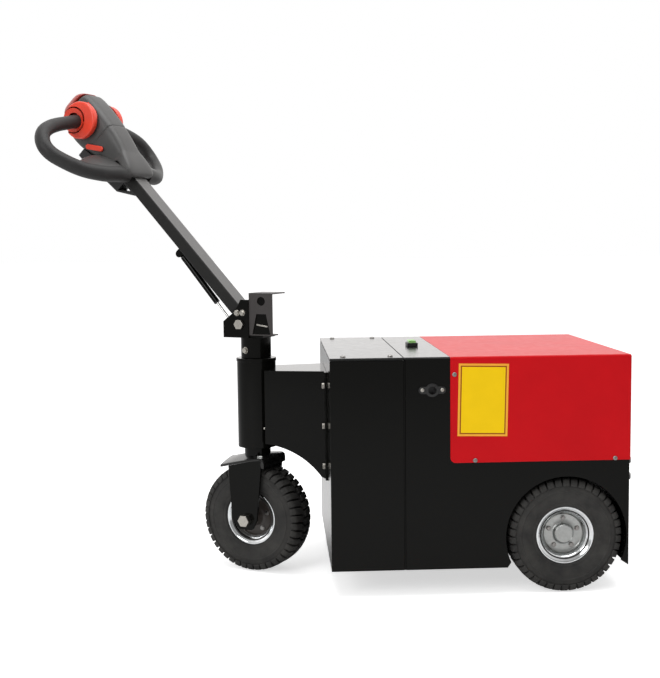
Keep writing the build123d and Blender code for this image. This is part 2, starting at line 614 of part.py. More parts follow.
def tiller_foot():
    """Foot plate and two cheeks on top of the stem, with the pivot bolt between them."""
    foot = block(-STEM_TOP_R, STEM_TOP_R, -CHEEK_HALF_GAP, CHEEK_HALF_GAP, STEM_TOP, FOOT_TOP)
    side = outline((0, STEM_TOP), (0, STEM_TOP + CHEEK_CREST), (-CHEEK_CREST_X, STEM_TOP + CHEEK_CREST),
                   (-CHEEK_WAIST_X, STEM_TOP + CHEEK_WAIST), (-CHEEK_FRONT, STEM_TOP + CHEEK_SHOULDER),
                   (-CHEEK_FRONT, STEM_TOP))
    side -= Pos(-PIVOT_S, PIVOT_Z) * Circle(PIVOT_R)
    for y0, y1 in ((-CHEEK_OUT, -CHEEK_HALF_GAP), (CHEEK_HALF_GAP, CHEEK_OUT)):
        foot += side_cut(side, y0, y1)
    stud_end = SPRING_EYE_HALF_W + STUD_GAP
    for y0, y1 in ((-CHEEK_HALF_GAP, -stud_end), (stud_end, CHEEK_HALF_GAP)):
        foot += bar_y(STUD_R, y0, y1, -SPRING_FOOT_S, SPRING_FOOT_Z)
    nodes["tiller_foot"] = steered(foot)
    bolt = bar_y(PIVOT_R, -CHEEK_OUT, CHEEK_OUT, -PIVOT_S, PIVOT_Z)
    for y0, y1 in ((-CHEEK_OUT - PIVOT_HEAD_H, -CHEEK_OUT), (CHEEK_OUT, CHEEK_OUT + PIVOT_HEAD_H)):
        bolt += hexagon_y(PIVOT_HEAD_R, y0, y1, -PIVOT_S, PIVOT_Z)
    sleeve = KNUCKLE_HALF_W + SIDE_GAP
    for y0, y1 in ((-CHEEK_HALF_GAP, -sleeve), (sleeve, CHEEK_HALF_GAP)):
        bolt += bar_y(PIVOT_SPACER_R, y0, y1, -PIVOT_S, PIVOT_Z)
    nodes["pivot_bolt"] = steered(bolt)


def switch_bracket():
    """Folded bracket behind the cheeks, and the tilt switch on a plate inside its web."""
    near = -BRACKET_HALF_W
    inside = near + BRACKET_T
    shelf_top = FOOT_TOP + BRACKET_T
    roof = BRACKET_TOP - BRACKET_T
    web = outline((0, FOOT_TOP), (BRACKET_LEN, FOOT_TOP), (BRACKET_LEN, BRACKET_TOP), (0, BRACKET_TOP))
    web -= Pos(BRACKET_HOLE_X, BRACKET_TOP - BRACKET_HOLE_DROP) * Circle(BRACKET_HOLE_R)
    cut_z = BRACKET_TOP - BRACKET_CUT_DROP
    foot_half = BRACKET_CUT_FOOT_W / 2
    top_half = BRACKET_CUT_TOP_W / 2
    web -= outline((BRACKET_HOLE_X - foot_half, shelf_top), (BRACKET_HOLE_X + foot_half, shelf_top),
                   (BRACKET_HOLE_X + top_half, cut_z), (BRACKET_HOLE_X - top_half, cut_z))
    bracket = side_cut(web, near, inside)
    bracket += block(0, BRACKET_LEN, near, near + BRACKET_SHELF_W, FOOT_TOP, shelf_top)
    bracket += block(0, BRACKET_LEN, near, BRACKET_HALF_W, roof, BRACKET_TOP)
    nodes["switch_bracket"] = steered(bracket)
    plate_end = BRACKET_LEN - SWITCH_PLATE_EDGE
    plate = block(SWITCH_PLATE_EDGE, plate_end, inside, inside + BRACKET_T, shelf_top, roof)
    box_low = (shelf_top + roof - SWITCH_BOX_H) / 2
    plate += block(SWITCH_BOX_X, SWITCH_BOX_X + SWITCH_BOX_LEN, inside, inside + SWITCH_BOX_T, box_low,
                   box_low + SWITCH_BOX_H)
    nodes["tilt_switch"] = steered(plate)


# Tiller, modelled upright: p along x, t along z, near side towards -y

def tiller_arm():
    """Square-cut box tube on a knuckle that turns about the pivot bolt."""
    tube = block(ARM_P, ARM_P + ARM_T, -ARM_W / 2, ARM_W / 2, ARM_START, ARM_END)
    tube = fillet(tube.edges().filter_by(Axis.Z), ARM_EDGE_R)
    tongue_p0 = ARM_P + ARM_WALL
    tongue_p1 = ARM_P + ARM_T - ARM_WALL
    hollow = block(tongue_p0, tongue_p1, -KNUCKLE_HALF_W, KNUCKLE_HALF_W, ARM_START, ARM_END - ARM_WALL)
    nodes["tiller_arm"] = tilted(tube - hollow)
    tongue_end = ARM_START + KNUCKLE_TONGUE
    heel = outline((0, -KNUCKLE_R), (HEEL_P, HEEL_T / 2), (HEEL_P, HEEL_T), (tongue_p1, ARM_START),
                   (tongue_p1, tongue_end), (tongue_p0, tongue_end), (tongue_p0, ARM_START), (-KNUCKLE_R, 0))
    ear = heel + Circle(KNUCKLE_R) - Circle(PIVOT_R + RUN_FIT)
    nodes["tiller_knuckle"] = tilted(side_cut(ear, -KNUCKLE_HALF_W, KNUCKLE_HALF_W))


def spring_foot():
    """Place of the gas spring's lower stud in the tiller's own frame (p, t)."""
    tilt = math.radians(TILT_REST)
    ds = SPRING_FOOT_S - PIVOT_S
    dz = SPRING_FOOT_Z - PIVOT_Z
    return dz * math.sin(tilt) - ds * math.cos(tilt), ds * math.sin(tilt) + dz * math.cos(tilt)


def gas_spring():
    foot_p, foot_t = spring_foot()
    run = math.hypot(SPRING_TOP_P - foot_p, SPRING_TOP_T - foot_t)
    lean = math.degrees(math.atan2(SPRING_TOP_P - foot_p, SPRING_TOP_T - foot_t))

    def along(part):
        """Carry a piece modelled straight down from the top eye on to the spring's own line."""
        return tilted(Pos(SPRING_TOP_P, 0, SPRING_TOP_T) * Rot(0, lean, 0) * part)

    ear_in = SPRING_EYE_HALF_W + SIDE_GAP
    ear_out = ear_in + SPRING_EAR_T
    ear = Pos(SPRING_TOP_P, SPRING_TOP_T) * Circle(SPRING_EYE_R)
    ear += Pos((SPRING_TOP_P + ARM_P) / 2, SPRING_TOP_T) * Rectangle(ARM_P - SPRING_TOP_P, 2 * SPRING_EYE_R)
    lug = bar_y(SPRING_PIN_R, -ear_out, ear_out, SPRING_TOP_P, SPRING_TOP_T)
    for y0, y1 in ((-ear_out, -ear_in), (ear_in, ear_out)):
        lug += side_cut(ear, y0, y1)
    nodes["spring_lug"] = tilted(lug)
    eye = bar_y(SPRING_EYE_R, -SPRING_EYE_HALF_W, SPRING_EYE_HALF_W, 0, 0)
    shoulder = SPRING_EYE_R + SPRING_NECK
    body = eye + bar_z(SPRING_EYE_HALF_W, -shoulder, 0) + bar_z(SPRING_R, -SPRING_LEN, -shoulder)
    body -= bar_y(SPRING_PIN_R + RUN_FIT, -SPRING_EYE_R, SPRING_EYE_R, 0, 0)
    body -= bar_z(ROD_R + ROD_FIT, -SPRING_LEN, -SPRING_EYE_R - SPRING_WALL_AT_EYE)
    nodes["spring_cylinder"] = along(body)
    rod = bar_z(ROD_R, -run, -SPRING_LEN + ROD_GRIP)
    rod += bar_y(ROD_EYE_R, -SPRING_EYE_HALF_W, SPRING_EYE_HALF_W, 0, -run)
    nodes["spring_rod"] = along(rod)


def ring(section, edge_r):
    """Rounded cross-section of the tiller head, square to the tiller."""
    t, low, high, half = section
    shape = RectangleRounded(high - low, 2 * half, edge_r)
    return Plane.XY.offset(t) * (Pos((low + high) / 2, 0) * shape)


def head_shape():
    """Grey body of the tiller head, with its neck lapping along the arm."""
    body = loft([ring(section, HEAD_EDGE_R) for section in HEAD_BODY])
    return body + loft([ring(section, NECK_EDGE_R) for section in HEAD_NECK])


def drive_wing():
    """Thumb wing on the far side: a fat crescent round the loop's root, open at its front."""
    crescent = Pos(WING_P, WING_T) * Circle(WING_R)
    eye = Pos(WING_P - WING_SHIFT, WING_T + WING_SHIFT)
    crescent -= eye * Circle(WING_INNER_R)
    crescent -= eye * Rot(0, 0, 135) * Pos(WING_R, 0) * Rectangle(2 * WING_R, WING_MOUTH)
    crescent = fillet(crescent.vertices(), WING_TIP_R)
    return side_cut(crescent, WING_SEAT, WING_OUT)


def tiller_head(head):
    nodes["tiller_head"] = tilted(head)
    nodes["belly_button"] = tilted(loft([ring(section, HEAD_EDGE_R) for section in HEAD_NOSE]))
    wing = drive_wing() - head
    nodes["drive_wings"] = tilted(Compound([wing, mirror(wing, about=Plane.XZ)]))
    key = Pos(BUTTON_P, BUTTON_T) * Rot(0, 0, BUTTON_TURN) * SlotOverall(BUTTON_LEN, BUTTON_W)
    button = side_cut(key, BUTTON_SEAT, BUTTON_OUT) - head
    nodes["side_buttons"] = tilted(Compound([button, mirror(button, about=Plane.XZ)]))


def handle_base(head):
    """Black shell under the head, drawn down into a windowed wedge along the arm."""
    keel_t, keel_p = BASE_KEEL
    stem_t, stem_p = BASE_STEM
    wedge = outline((ARM_P, BASE_LOW_T), (ARM_P, ARM_END), (SHELL_LOW_P, ARM_END), (keel_p, keel_t),
                    (stem_p, stem_t), (ARM_P - BASE_WALL, BASE_TOE_T))
    window_low, window_high = BASE_WINDOW
    window_p = ARM_P - BASE_WALL
    wedge -= outline((window_p, window_low), (window_p, window_high), (stem_p + BASE_WALL, window_high))
    shell = outline((ARM_P, keel_t), (ARM_P, ARM_END), (HEAD_BODY[0][1], ARM_END), (SHELL_TOP_P, SHELL_FRONT_T),
                    (SHELL_LOW_P, SHELL_FRONT_T), (SHELL_LOW_P, ARM_END), (keel_p, keel_t))
    base = side_cut(wedge, -BASE_HALF_W, BASE_HALF_W)
    base += side_cut(shell, -SHELL_HALF_W, SHELL_HALF_W)
    return base - head


def palm():
    """Plate on the far side that widens the loop's heel where the palm rests."""
    high_t, high_p = PALM_HIGH
    mid_t, mid_p = PALM_MID
    low_t, low_p = PALM_LOW
    edge_t, edge_b = PALM_EDGE
    profile = outline((high_p, high_t), (mid_p, mid_t), (low_p, low_t), (low_p - PALM_T, low_t - PALM_T),
                      (mid_p - 2 * PALM_T, mid_t), (high_p - PALM_T, high_t))
    plan = outline((PALM_ROOT_B, low_t - PALM_T), (PALM_ROOT_B, high_t), (WING_SEAT, high_t), (edge_b, edge_t),
                   (edge_b, mid_t), (LOOP_HEEL[2], low_t))
    reach = 4 * PALM_T
    return side_cut(profile, PALM_ROOT_B, edge_b) & extrude(Plane.YZ.offset(-reach) * plan, amount=2 * reach)


def handle(head):
    """Two grip loops, one each side of the head, on the shell under the arm's end."""
    base = handle_base(head)
    nodes["handle_base"] = tilted(base)
    corners = [Vector(p, b, t) for t, p, b in (LOOP_ROOT, LOOP_HORN, LOOP_SIDE, LOOP_HEEL, LOOP_FOOT)]
    path = FilletPolyline(*corners, radius=LOOP_RADII)
    section = Plane(origin=path @ 0, z_dir=path % 0) * Circle(LOOP_R)
    arm = block(ARM_P, ARM_P + ARM_T, -ARM_W / 2, ARM_W / 2, ARM_START, ARM_END)
    loop = sweep(section, path=path) + palm() - head - base - arm
    nodes["handle_loop_far"] = tilted(loop)
    nodes["handle_loop_near"] = tilted(mirror(loop, about=Plane.XZ))


front_wheel()
rear_wheels()
steel_body()
rear_cover()
drive_unit()
tow_jaw()
controls_on_body()
neck()
fork()
tiller_foot()
switch_bracket()
tiller_arm()
gas_spring()
head = head_shape()
tiller_head(head)
handle(head)

# The part's origin is the middle of its box, on the floor
box = Compound(list(nodes.values())).bounding_box()
shift = Pos(-(box.min.X + box.max.X) / 2, -(box.min.Y + box.max.Y) / 2, 0)
os.makedirs("parts", exist_ok=True)
for name, part in nodes.items():
    export_step(shift * part, f"parts/{name}.step")
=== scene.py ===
import json
import math

import bmesh
import bpy
from mathutils import Matrix, Vector


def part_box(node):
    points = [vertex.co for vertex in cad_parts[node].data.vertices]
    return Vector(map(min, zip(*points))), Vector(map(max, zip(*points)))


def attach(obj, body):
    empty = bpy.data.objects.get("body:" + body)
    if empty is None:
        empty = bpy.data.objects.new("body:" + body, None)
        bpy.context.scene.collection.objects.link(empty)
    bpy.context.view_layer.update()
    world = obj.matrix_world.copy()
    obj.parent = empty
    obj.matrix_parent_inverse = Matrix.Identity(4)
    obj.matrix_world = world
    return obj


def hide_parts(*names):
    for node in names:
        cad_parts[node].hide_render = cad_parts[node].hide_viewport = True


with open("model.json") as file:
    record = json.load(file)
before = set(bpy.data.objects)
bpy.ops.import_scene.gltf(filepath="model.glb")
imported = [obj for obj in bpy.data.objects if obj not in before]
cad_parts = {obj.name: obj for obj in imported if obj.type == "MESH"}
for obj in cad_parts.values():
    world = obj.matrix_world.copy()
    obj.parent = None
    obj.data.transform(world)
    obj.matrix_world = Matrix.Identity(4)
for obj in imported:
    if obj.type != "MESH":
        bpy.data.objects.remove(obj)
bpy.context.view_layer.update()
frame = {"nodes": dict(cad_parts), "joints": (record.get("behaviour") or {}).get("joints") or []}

# Dresses the walk-behind tow tug: enamelled sheet, moulded tiller head, grips, tyres, rims,
# fasteners and a blank yellow plate. Lengths are in metres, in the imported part's own frame.

NODES = frame["nodes"]
JOINTS = {joint["name"]: joint for joint in frame["joints"]}

# Parked attitude of the steering and the tiller
STEER_REST = math.radians(-28.0)
TILT_REST = math.radians(43.0)
PIVOT_AHEAD = 0.0237

# Wheels
TYRE_HALF_W = 0.0425
TREAD_BASE_R = 0.1228
LUG_COUNT = 42
LUG_W = 0.0142
LUG_SKEW = 0.0065
RIM_DISC_R = 0.0462
RIM_DISC_Y = 0.0112
WHEEL_STEPS = 128
RIM_STEPS = 96
FRONT_HUB_Y = 0.042
REAR_HUB_Y = (-0.0425, 0.025)
SHAFT_R = 0.013
SHAFT_END_Y = -0.1225
RIM_BOLT_CIRCLE = 0.034
RIM_BOLT_COUNT = 5
RIM_BOLT_PHASE = 0.3
RIM_BOLT_R = 0.0050

# Shading: a face this many times larger than its neighbour keeps its own flat normal
FLAT_SHARE = 12.0
# Faces of the tiller arm that point up at least this much take the painted highlight
ARM_HIGHLIGHT_FACING = 0.9

# Edges that meet at more than these degrees stay sharp, on folded pieces, rims, head and grips
FOLD_CREASE = 22.0
CROWN_CREASE = 30.0
RIM_CREASE = 40.0
HEAD_CREASE = 50.0
GRIP_CREASE = 60.0

# Body places in the steering-axis frame: x from the steering axis, y = 0 on the middle plane
BODY_HALF_W = 0.265
BODY_TOP = 0.538
COVER_SKIN = 0.0025
PLATE_X = (0.446, 0.557)
PLATE_Z = (0.361, 0.522)
PLATE_T = 0.0004
PLATE_TURN = math.radians(1.2)
PLATE_MARGIN = 0.0045
PLATE_LINE = 0.0028
LID_SCREW_X = (0.195, 0.300)
LID_SCREW_Y = 0.235
LID_SCREW_R = 0.0062
COVER_SCREW_R = 0.0052
SOCKET_SCREW_R = 0.0042
SCREW_SINK = 0.0004
SOCKET_SEAT = 0.0028
COVER_SCREWS = ((0.438, 0.499), (0.484, 0.307), (0.7975, 0.306))
SWITCH_X = 0.376
SWITCH_HALF = (0.013, 0.020)
SWITCH_BEZEL_H = 0.009
ROCKER_HALF = (0.0088, 0.0158)
ROCKER_H = 0.0145
ROCKER_FOOT = 0.006
ROCKER_DIP = 0.55
ROCKER_STATIONS = 8
SOCKET_X = 0.389
SOCKET_Z = 0.4655
SOCKET_PITCH = 0.044
STEM_BOLT = (-0.025, 0.536)
STEM_BOLT_R = 0.0070
STEM_TOP_R = 0.036
SEAM_NIPPLE = (0.0180, -0.0440, 0.3500)
SEAM_NIPPLE_R = 0.0030
CHEEK_OUT_Y = 0.036
CHEEK_BOLT_R = 0.0062
CHEEK_BOLTS = ((-0.0311, 0.6251), (-0.0163, 0.6254))
LEVER_X = (0.0195, 0.0490)
LEVER_Z = 0.5957
LEVER_H = 0.0034
LEVER_Y = (0.0318, 0.0298)
LEVER_TURN = math.radians(9.0)

# Fork crown, a plate that falls to the front and rises to a low ridge between the legs. Each point of
# its upper line is the place behind the steering axis, the drop below the sloping plane, the ridge's share
CROWN_Z = 0.276
CROWN_SLOPE = math.tan(math.radians(12.8))
CROWN_HALF_W = 0.056
CROWN_T = 0.006
CROWN_RIDGE = 0.0125
CROWN_RIDGE_POWER = 1.3
CROWN_LINE = (
    (-0.0730, 0.0, 1.0),
    (-0.0400, 0.0, 1.0),
    (0.0, 0.0, 0.9),
    (0.0200, 0.0008, 0.6),
    (0.0320, 0.0025, 0.3),
    (0.0400, 0.0055, 0.1),
    (0.0448, 0.0110, 0.0),
    (0.0460, 0.0180, 0.0),
)
CROWN_BOLT = (0.031, -0.045)
CROWN_BOLT_DROP = 0.0025
CROWN_BOLT_R = 0.0070
CROWN_LIP_Z = 0.2575
CROWN_STATIONS = 20

# Tiller head in the tiller's own frame: t up the arm, p to its upper face, b out to either side.
# Each section is its place t, lower p, upper p, half width low and half width at the top
HEAD_SECTIONS = (
    (0.4630, 0.0258, 0.0330, 0.044, 0.040),
    (0.4665, 0.0256, 0.0400, 0.055, 0.049),
    (0.4800, 0.0256, 0.0480, 0.059, 0.049),
    (0.5050, 0.0256, 0.0535, 0.055, 0.045),
    (0.5240, 0.0256, 0.0560, 0.048, 0.041),
    (0.5275, -0.0060, 0.0570, 0.045, 0.040),
    (0.5450, -0.0080, 0.0615, 0.043, 0.039),
    (0.5700, -0.0150, 0.0670, 0.044, 0.040),
    (0.6100, -0.0300, 0.0730, 0.046, 0.042),
    (0.6500, -0.0370, 0.0760, 0.047, 0.043),
    (0.6900, -0.0310, 0.0755, 0.046, 0.043),
    (0.7080, -0.0225, 0.0725, 0.0445, 0.042),
    (0.7160, -0.0180, 0.0690, 0.0430, 0.040),
)
NOSE_SECTIONS = (
    (0.7163, -0.0178, 0.0688, 0.0428, 0.0395),
    (0.7230, -0.0150, 0.0650, 0.0405, 0.0365),
    (0.7300, -0.0105, 0.0585, 0.0365, 0.0320),
    (0.7370, -0.0035, 0.0495, 0.0295, 0.0260),
    (0.7412, 0.0080, 0.0360, 0.0170, 0.0150),
)
HEAD_SEAM_T = 0.602
SEAM_W = 0.0016
SEAM_DEPTH = 0.0011
HEAD_SQUARENESS = 4.6
HEAD_SIDES = 32
HEAD_SMOOTHING = 2

# Grip loop centreline: place t, p and b, with the tube's radius there
LOOP_PATH = (
    (0.6690, 0.0210, 0.030, 0.0165),
    (0.6655, 0.0170, 0.066, 0.0165),
    (0.6620, 0.0110, 0.100, 0.0165),
    (0.6570, 0.0060, 0.136, 0.0168),
    (0.6475, 0.0015, 0.170, 0.0172),
    (0.6345, -0.0035, 0.1961, 0.0176),
    (0.6165, -0.0095, 0.2118, 0.0180),
    (0.5945, -0.0140, 0.2176, 0.0180),
    (0.5715, -0.0150, 0.212, 0.0180),
    (0.5485, -0.0120, 0.196, 0.0180),
    (0.5255, -0.0080, 0.171, 0.0182),
    (0.5095, -0.0030, 0.147, 0.0186),
    (0.4970, 0.0040, 0.123, 0.0192),
    (0.4875, 0.0105, 0.098, 0.0195),
    (0.4820, 0.0170, 0.070, 0.0195),
    (0.4795, 0.0195, 0.040, 0.0195),
)
LOOP_STEPS = 8
LOOP_SIDES = 24

# Palm plate between the loop's heel and the head: place b, middle t and p, half length, half depth
PALM_SECTIONS = (
    (0.030, 0.5270, 0.0060, 0.052, 0.0140),
    (0.062, 0.5260, 0.0055, 0.049, 0.0140),
    (0.095, 0.5240, 0.0030, 0.042, 0.0140),
    (0.125, 0.5220, -0.0015, 0.032, 0.0135),
    (0.146, 0.5210, -0.0055, 0.022, 0.0125),
    (0.158, 0.5200, -0.0080, 0.010, 0.0090),
)
PALM_SLOPE = 0.44
PALM_STEPS = 3
PALM_ROUNDING = 0.6

# Dish inside each wing, a shallow cone round the loop's root
DISH_MIDDLE = (0.0140, 0.6740)
DISH_RIM = (0.0300, 0.0655)
DISH_FLOOR = (0.0160, 0.0625)
DISH_WALL = 0.0015
DISH_STEPS = 48

# Frames of the body, the steered pieces and the tiller; the first two start on the floor under the
# steering axis, the third at the tiller's pivot
STEERING_AXIS = Vector((JOINTS["steer"]["pos_m"][0], JOINTS["steer"]["pos_m"][1], 0.0))
BODY_FRAME = Matrix.Translation(STEERING_AXIS)
STEERED = BODY_FRAME @ Matrix.Rotation(STEER_REST, 4, "Z")
PIVOT_Z = JOINTS["tiller_tilt"]["pos_m"][2]
TILTED = STEERED @ Matrix.Translation((-PIVOT_AHEAD, 0.0, PIVOT_Z)) @ Matrix.Rotation(-TILT_REST, 4, "Y")


# Node helpers for materials

class Shade:
    """One material's node tree, with short calls that add a node and join it up."""

    def __init__(self, name):
        self.material = bpy.data.materials.new(name)
        self.material.use_nodes = True
        self.tree = self.material.node_tree
        self.shader = self.tree.nodes["Principled BSDF"]
        coords = self.tree.nodes.new("ShaderNodeTexCoord")
        self.place = coords.outputs["Object"]

    def join(self, source, target):
        self.tree.links.new(source, target)

    def set(self, **values):
        for key, value in values.items():
            self.shader.inputs[key.replace("_", " ")].default_value = value

    def noise(self, scale, detail=3.0, roughness=0.55):
        node = self.tree.nodes.new("ShaderNodeTexNoise")
        node.inputs["Scale"].default_value = scale
        node.inputs["Detail"].default_value = detail
        node.inputs["Roughness"].default_value = roughness
        self.join(self.place, node.inputs["Vector"])
        return node.outputs["Fac"]

    def ramp(self, source, stops):
        node = self.tree.nodes.new("ShaderNodeValToRGB")
        elements = node.color_ramp.elements
        while len(elements) < len(stops):
            elements.new(0.5)
        for element, (position, colour) in zip(elements, stops):
            element.position = position
            element.color = (*colour, 1.0)
        self.join(source, node.inputs["Fac"])
        return node.outputs["Color"]

    def spread(self, source, low, high):
        node = self.tree.nodes.new("ShaderNodeMapRange")
        node.inputs["To Min"].default_value = low
        node.inputs["To Max"].default_value = high
        self.join(source, node.inputs["Value"])
        return node.outputs["Result"]

    def bump(self, source, depth):
        node = self.tree.nodes.new("ShaderNodeBump")
        node.inputs["Distance"].default_value = depth
        node.inputs["Strength"].default_value = 1.0
        self.join(source, node.inputs["Height"])
        return node.outputs["Normal"]

    def wear(self, source, socket):
        self.join(source, self.shader.inputs[socket])


def shades_of(colour, low, high):
    """Two tints of one colour, darker and lighter."""
    return tuple(c * low for c in colour), tuple(min(c * high, 1.0) for c in colour)


def enamel(name, colour, roughness, peel, specular):
    """Sprayed enamel on sheet: even colour, faint cloudiness and the skin's orange peel."""
    shade = Shade(name)
    dark, light = shades_of(colour, 0.95, 1.04)
    cloud = shade.noise(9.0, 4.0)
    shade.wear(shade.ramp(cloud, ((0.3, dark), (0.7, light))), "Base Color")
    shade.wear(shade.spread(shade.noise(60.0, 4.0), roughness * 0.85, roughness * 1.2), "Roughness")
    shade.wear(shade.bump(shade.noise(330.0, 2.0), peel), "Normal")
    shade.set(Specular_IOR_Level=specular)
    return shade.material


def powder_coat(name, colour, roughness, grain=0.00012, specular=0.5):
    """Fine-textured powder coat, pebbled at about a millimetre."""
    shade = Shade(name)
    dark, light = shades_of(colour, 0.75, 1.25)
    pebble = shade.noise(900.0, 3.0, 0.6)
    shade.wear(shade.ramp(pebble, ((0.35, dark), (0.65, light))), "Base Color")
    shade.wear(shade.spread(shade.noise(40.0, 3.0), roughness * 0.85, roughness * 1.15), "Roughness")
    shade.wear(shade.bump(pebble, grain), "Normal")
    shade.set(Specular_IOR_Level=specular)
    return shade.material


def plated(name, colour, roughness, blotch=0.12):
    """Zinc or chrome plate: metal with soft blotches and fine drawing marks."""
    shade = Shade(name)
    dark, light = shades_of(colour, 1.0 - blotch, 1.0 + blotch / 3)
    shade.wear(shade.ramp(shade.noise(140.0, 4.0), ((0.3, dark), (0.7, light))), "Base Color")
    shade.wear(shade.spread(shade.noise(420.0, 3.0), roughness * 0.7, roughness * 1.4), "Roughness")
    shade.wear(shade.bump(shade.noise(1500.0, 2.0), 0.000012), "Normal")
    shade.set(Metallic=1.0)
    return shade.material


def moulded(name, colour, roughness, grain=0.00004):
    """Moulded plastic with a spark-eroded grain."""
    shade = Shade(name)
    dark, light = shades_of(colour, 0.9, 1.1)
    shade.wear(shade.ramp(shade.noise(25.0, 3.0), ((0.3, dark), (0.7, light))), "Base Color")
    grainy = shade.noise(1800.0, 2.0, 0.5)
    shade.wear(shade.spread(grainy, roughness * 0.88, roughness * 1.12), "Roughness")
    shade.wear(shade.bump(grainy, grain), "Normal")
    return shade.material


def rubber(name, colour, roughness, dust, grain=0.00008):
    """Vulcanised rubber with a pale bloom in broad patches and a fine grain."""
    shade = Shade(name)
    patch = shade.noise(22.0, 6.0, 0.65)
    shade.wear(shade.ramp(patch, ((0.35, colour), (0.8, dust))), "Base Color")
    grainy = shade.noise(1100.0, 3.0, 0.6)
    shade.wear(shade.spread(shade.noise(70.0, 3.0), roughness * 0.9, min(roughness * 1.15, 1.0)), "Roughness")
    shade.wear(shade.bump(grainy, grain), "Normal")
    shade.set(Specular_IOR_Level=0.35)
    return shade.material


def film(name, colour, roughness):
    """Printed plate film, smooth with a faint ripple."""
    shade = Shade(name)
    dark, light = shades_of(colour, 0.985, 1.01)
    shade.wear(shade.ramp(shade.noise(30.0, 2.0), ((0.35, dark), (0.65, light))), "Base Color")
    shade.wear(shade.spread(shade.noise(90.0, 2.0), roughness * 0.9, roughness * 1.15), "Roughness")
    shade.wear(shade.bump(shade.noise(160.0, 2.0), 0.00002), "Normal")
    shade.set(Specular_IOR_Level=0.15)
    return shade.material


BLACK_ENAMEL = enamel("black_enamel", (0.0028, 0.0028, 0.0023), 0.13, 0.000012, 0.12)
LID_ENAMEL = enamel("lid_enamel", (0.0050, 0.0048, 0.0046), 0.20, 0.000012, 0.45)
RED_ENAMEL = enamel("red_enamel", (0.54, 0.0030, 0.0070), 0.36, 0.000012, 0.12)
ARM_COAT = powder_coat("arm_powder_coat", (0.008, 0.008, 0.0075), 0.42, 0.00012, 0.25)
# Paler copy of the arm's coat, a painted highlight on the arm's upper face
ARM_TOP_PAINTED_HIGHLIGHT = powder_coat("arm_top_painted_highlight", (0.090, 0.088, 0.086), 0.40)
BRACKET_COAT = powder_coat("bracket_powder_coat", (0.024, 0.020, 0.019), 0.45, 0.00006)
ZINC = plated("zinc_plate", (0.46, 0.44, 0.40), 0.30)
CHROME = plated("rim_plate", (0.74, 0.76, 0.77), 0.13, 0.08)
DISC_STEEL = plated("rim_disc_plate", (0.40, 0.41, 0.40), 0.32, 0.12)
SCREW_STEEL = plated("screw_steel", (0.30, 0.29, 0.28), 0.35)
STEEL_ROD = plated("rod_steel", (0.62, 0.62, 0.61), 0.16)
CAST_METAL = plated("gear_case_cast", (0.34, 0.34, 0.33), 0.5, 0.2)
TYRE_RUBBER = rubber("tyre_rubber", (0.017, 0.0165, 0.016), 0.72, (0.046, 0.044, 0.040))
GRIP_RUBBER = rubber("grip_rubber", (0.013, 0.0125, 0.0125), 0.52, (0.024, 0.0235, 0.023), 0.00005)
SEAL_RUBBER = rubber("seal_rubber", (0.006, 0.006, 0.006), 0.7, (0.012, 0.012, 0.012))
HEAD_PLASTIC = moulded("head_grey_plastic", (0.045, 0.044, 0.043), 0.46)
BLACK_PLASTIC = moulded("black_plastic", (0.010, 0.010, 0.010), 0.42)
ORANGE_PLASTIC = moulded("signal_orange_plastic", (0.72, 0.050, 0.022), 0.34, 0.00002)
NOSE_PLASTIC = moulded("nose_red_plastic", (0.30, 0.030, 0.020), 0.40, 0.00002)
GREEN_PLASTIC = moulded("rocker_green_plastic", (0.26, 0.52, 0.16), 0.22, 0.00001)
BATTERY_PLASTIC = moulded("battery_case_plastic", (0.045, 0.047, 0.05), 0.55)
PLATE_YELLOW = film("plate_yellow", (0.88, 0.57, 0.002), 0.42)
PLATE_EDGE_AMBER = film("plate_margin", (0.86, 0.40, 0.04), 0.4)
PLATE_LINE_BROWN = film("plate_border", (0.30, 0.07, 0.008), 0.4)
DISC_PAINT = powder_coat("front_disc_paint", (0.045, 0.037, 0.032), 0.4, 0.00004)


# Mesh helpers

def new_object(name, mesh):
    piece = bpy.data.objects.new(name, mesh)
    bpy.context.scene.collection.objects.link(piece)
    return piece


def baked(piece):
    """Plain mesh of an object with its modifiers worked in; the object itself is removed."""
    bpy.context.view_layer.update()
    graph = bpy.context.evaluated_depsgraph_get()
    mesh = bpy.data.meshes.new_from_object(piece.evaluated_get(graph), depsgraph=graph)
    bpy.data.objects.remove(piece)
    return mesh


def fitted(name, mesh, materials, body, stands_for=(), sharp=35.0):
    """The finished piece: smooth except at its creases, on its body, with its finish."""
    mesh.name = name
    mesh.shade_smooth()
    mesh.set_sharp_from_angle(angle=math.radians(sharp))
    if materials and len(mesh.materials):
        mesh.materials.clear()
    for material in materials:
        mesh.materials.append(material)
    piece = new_object(name, mesh)
    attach(piece, body)
    if stands_for:
        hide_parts(*stands_for)
    return piece


def mesh_of(bm, place=None):
    """Closes seams, turns the faces outwards and puts the shape in its place."""
    bmesh.ops.remove_doubles(bm, verts=bm.verts, dist=1e-6)
    bmesh.ops.recalc_face_normals(bm, faces=bm.faces)
    if place:
        bm.transform(place)
    mesh = bpy.data.meshes.new("shape")
    bm.to_mesh(mesh)
    bm.free()
    return mesh


def smoothed(mesh, levels):
    """The mesh subdivided into a smooth form."""
    piece = new_object("smoothing", mesh)
    modifier = piece.modifiers.new("subdivision", "SUBSURF")
    modifier.levels = levels
    modifier.render_levels = levels
    return baked(piece)


def bevelled(mesh, width, segments=2, angle=32.0):
    """The mesh with its sharper edges rounded off."""
    piece = new_object("bevelling", mesh)
    modifier = piece.modifiers.new("edges", "BEVEL")
    modifier.width = width
    modifier.segments = segments
    modifier.limit_method = "ANGLE"
    modifier.angle_limit = math.radians(angle)
    modifier.use_clamp_overlap = False
    modifier.miter_outer = "MITER_ARC"
    return baked(piece)


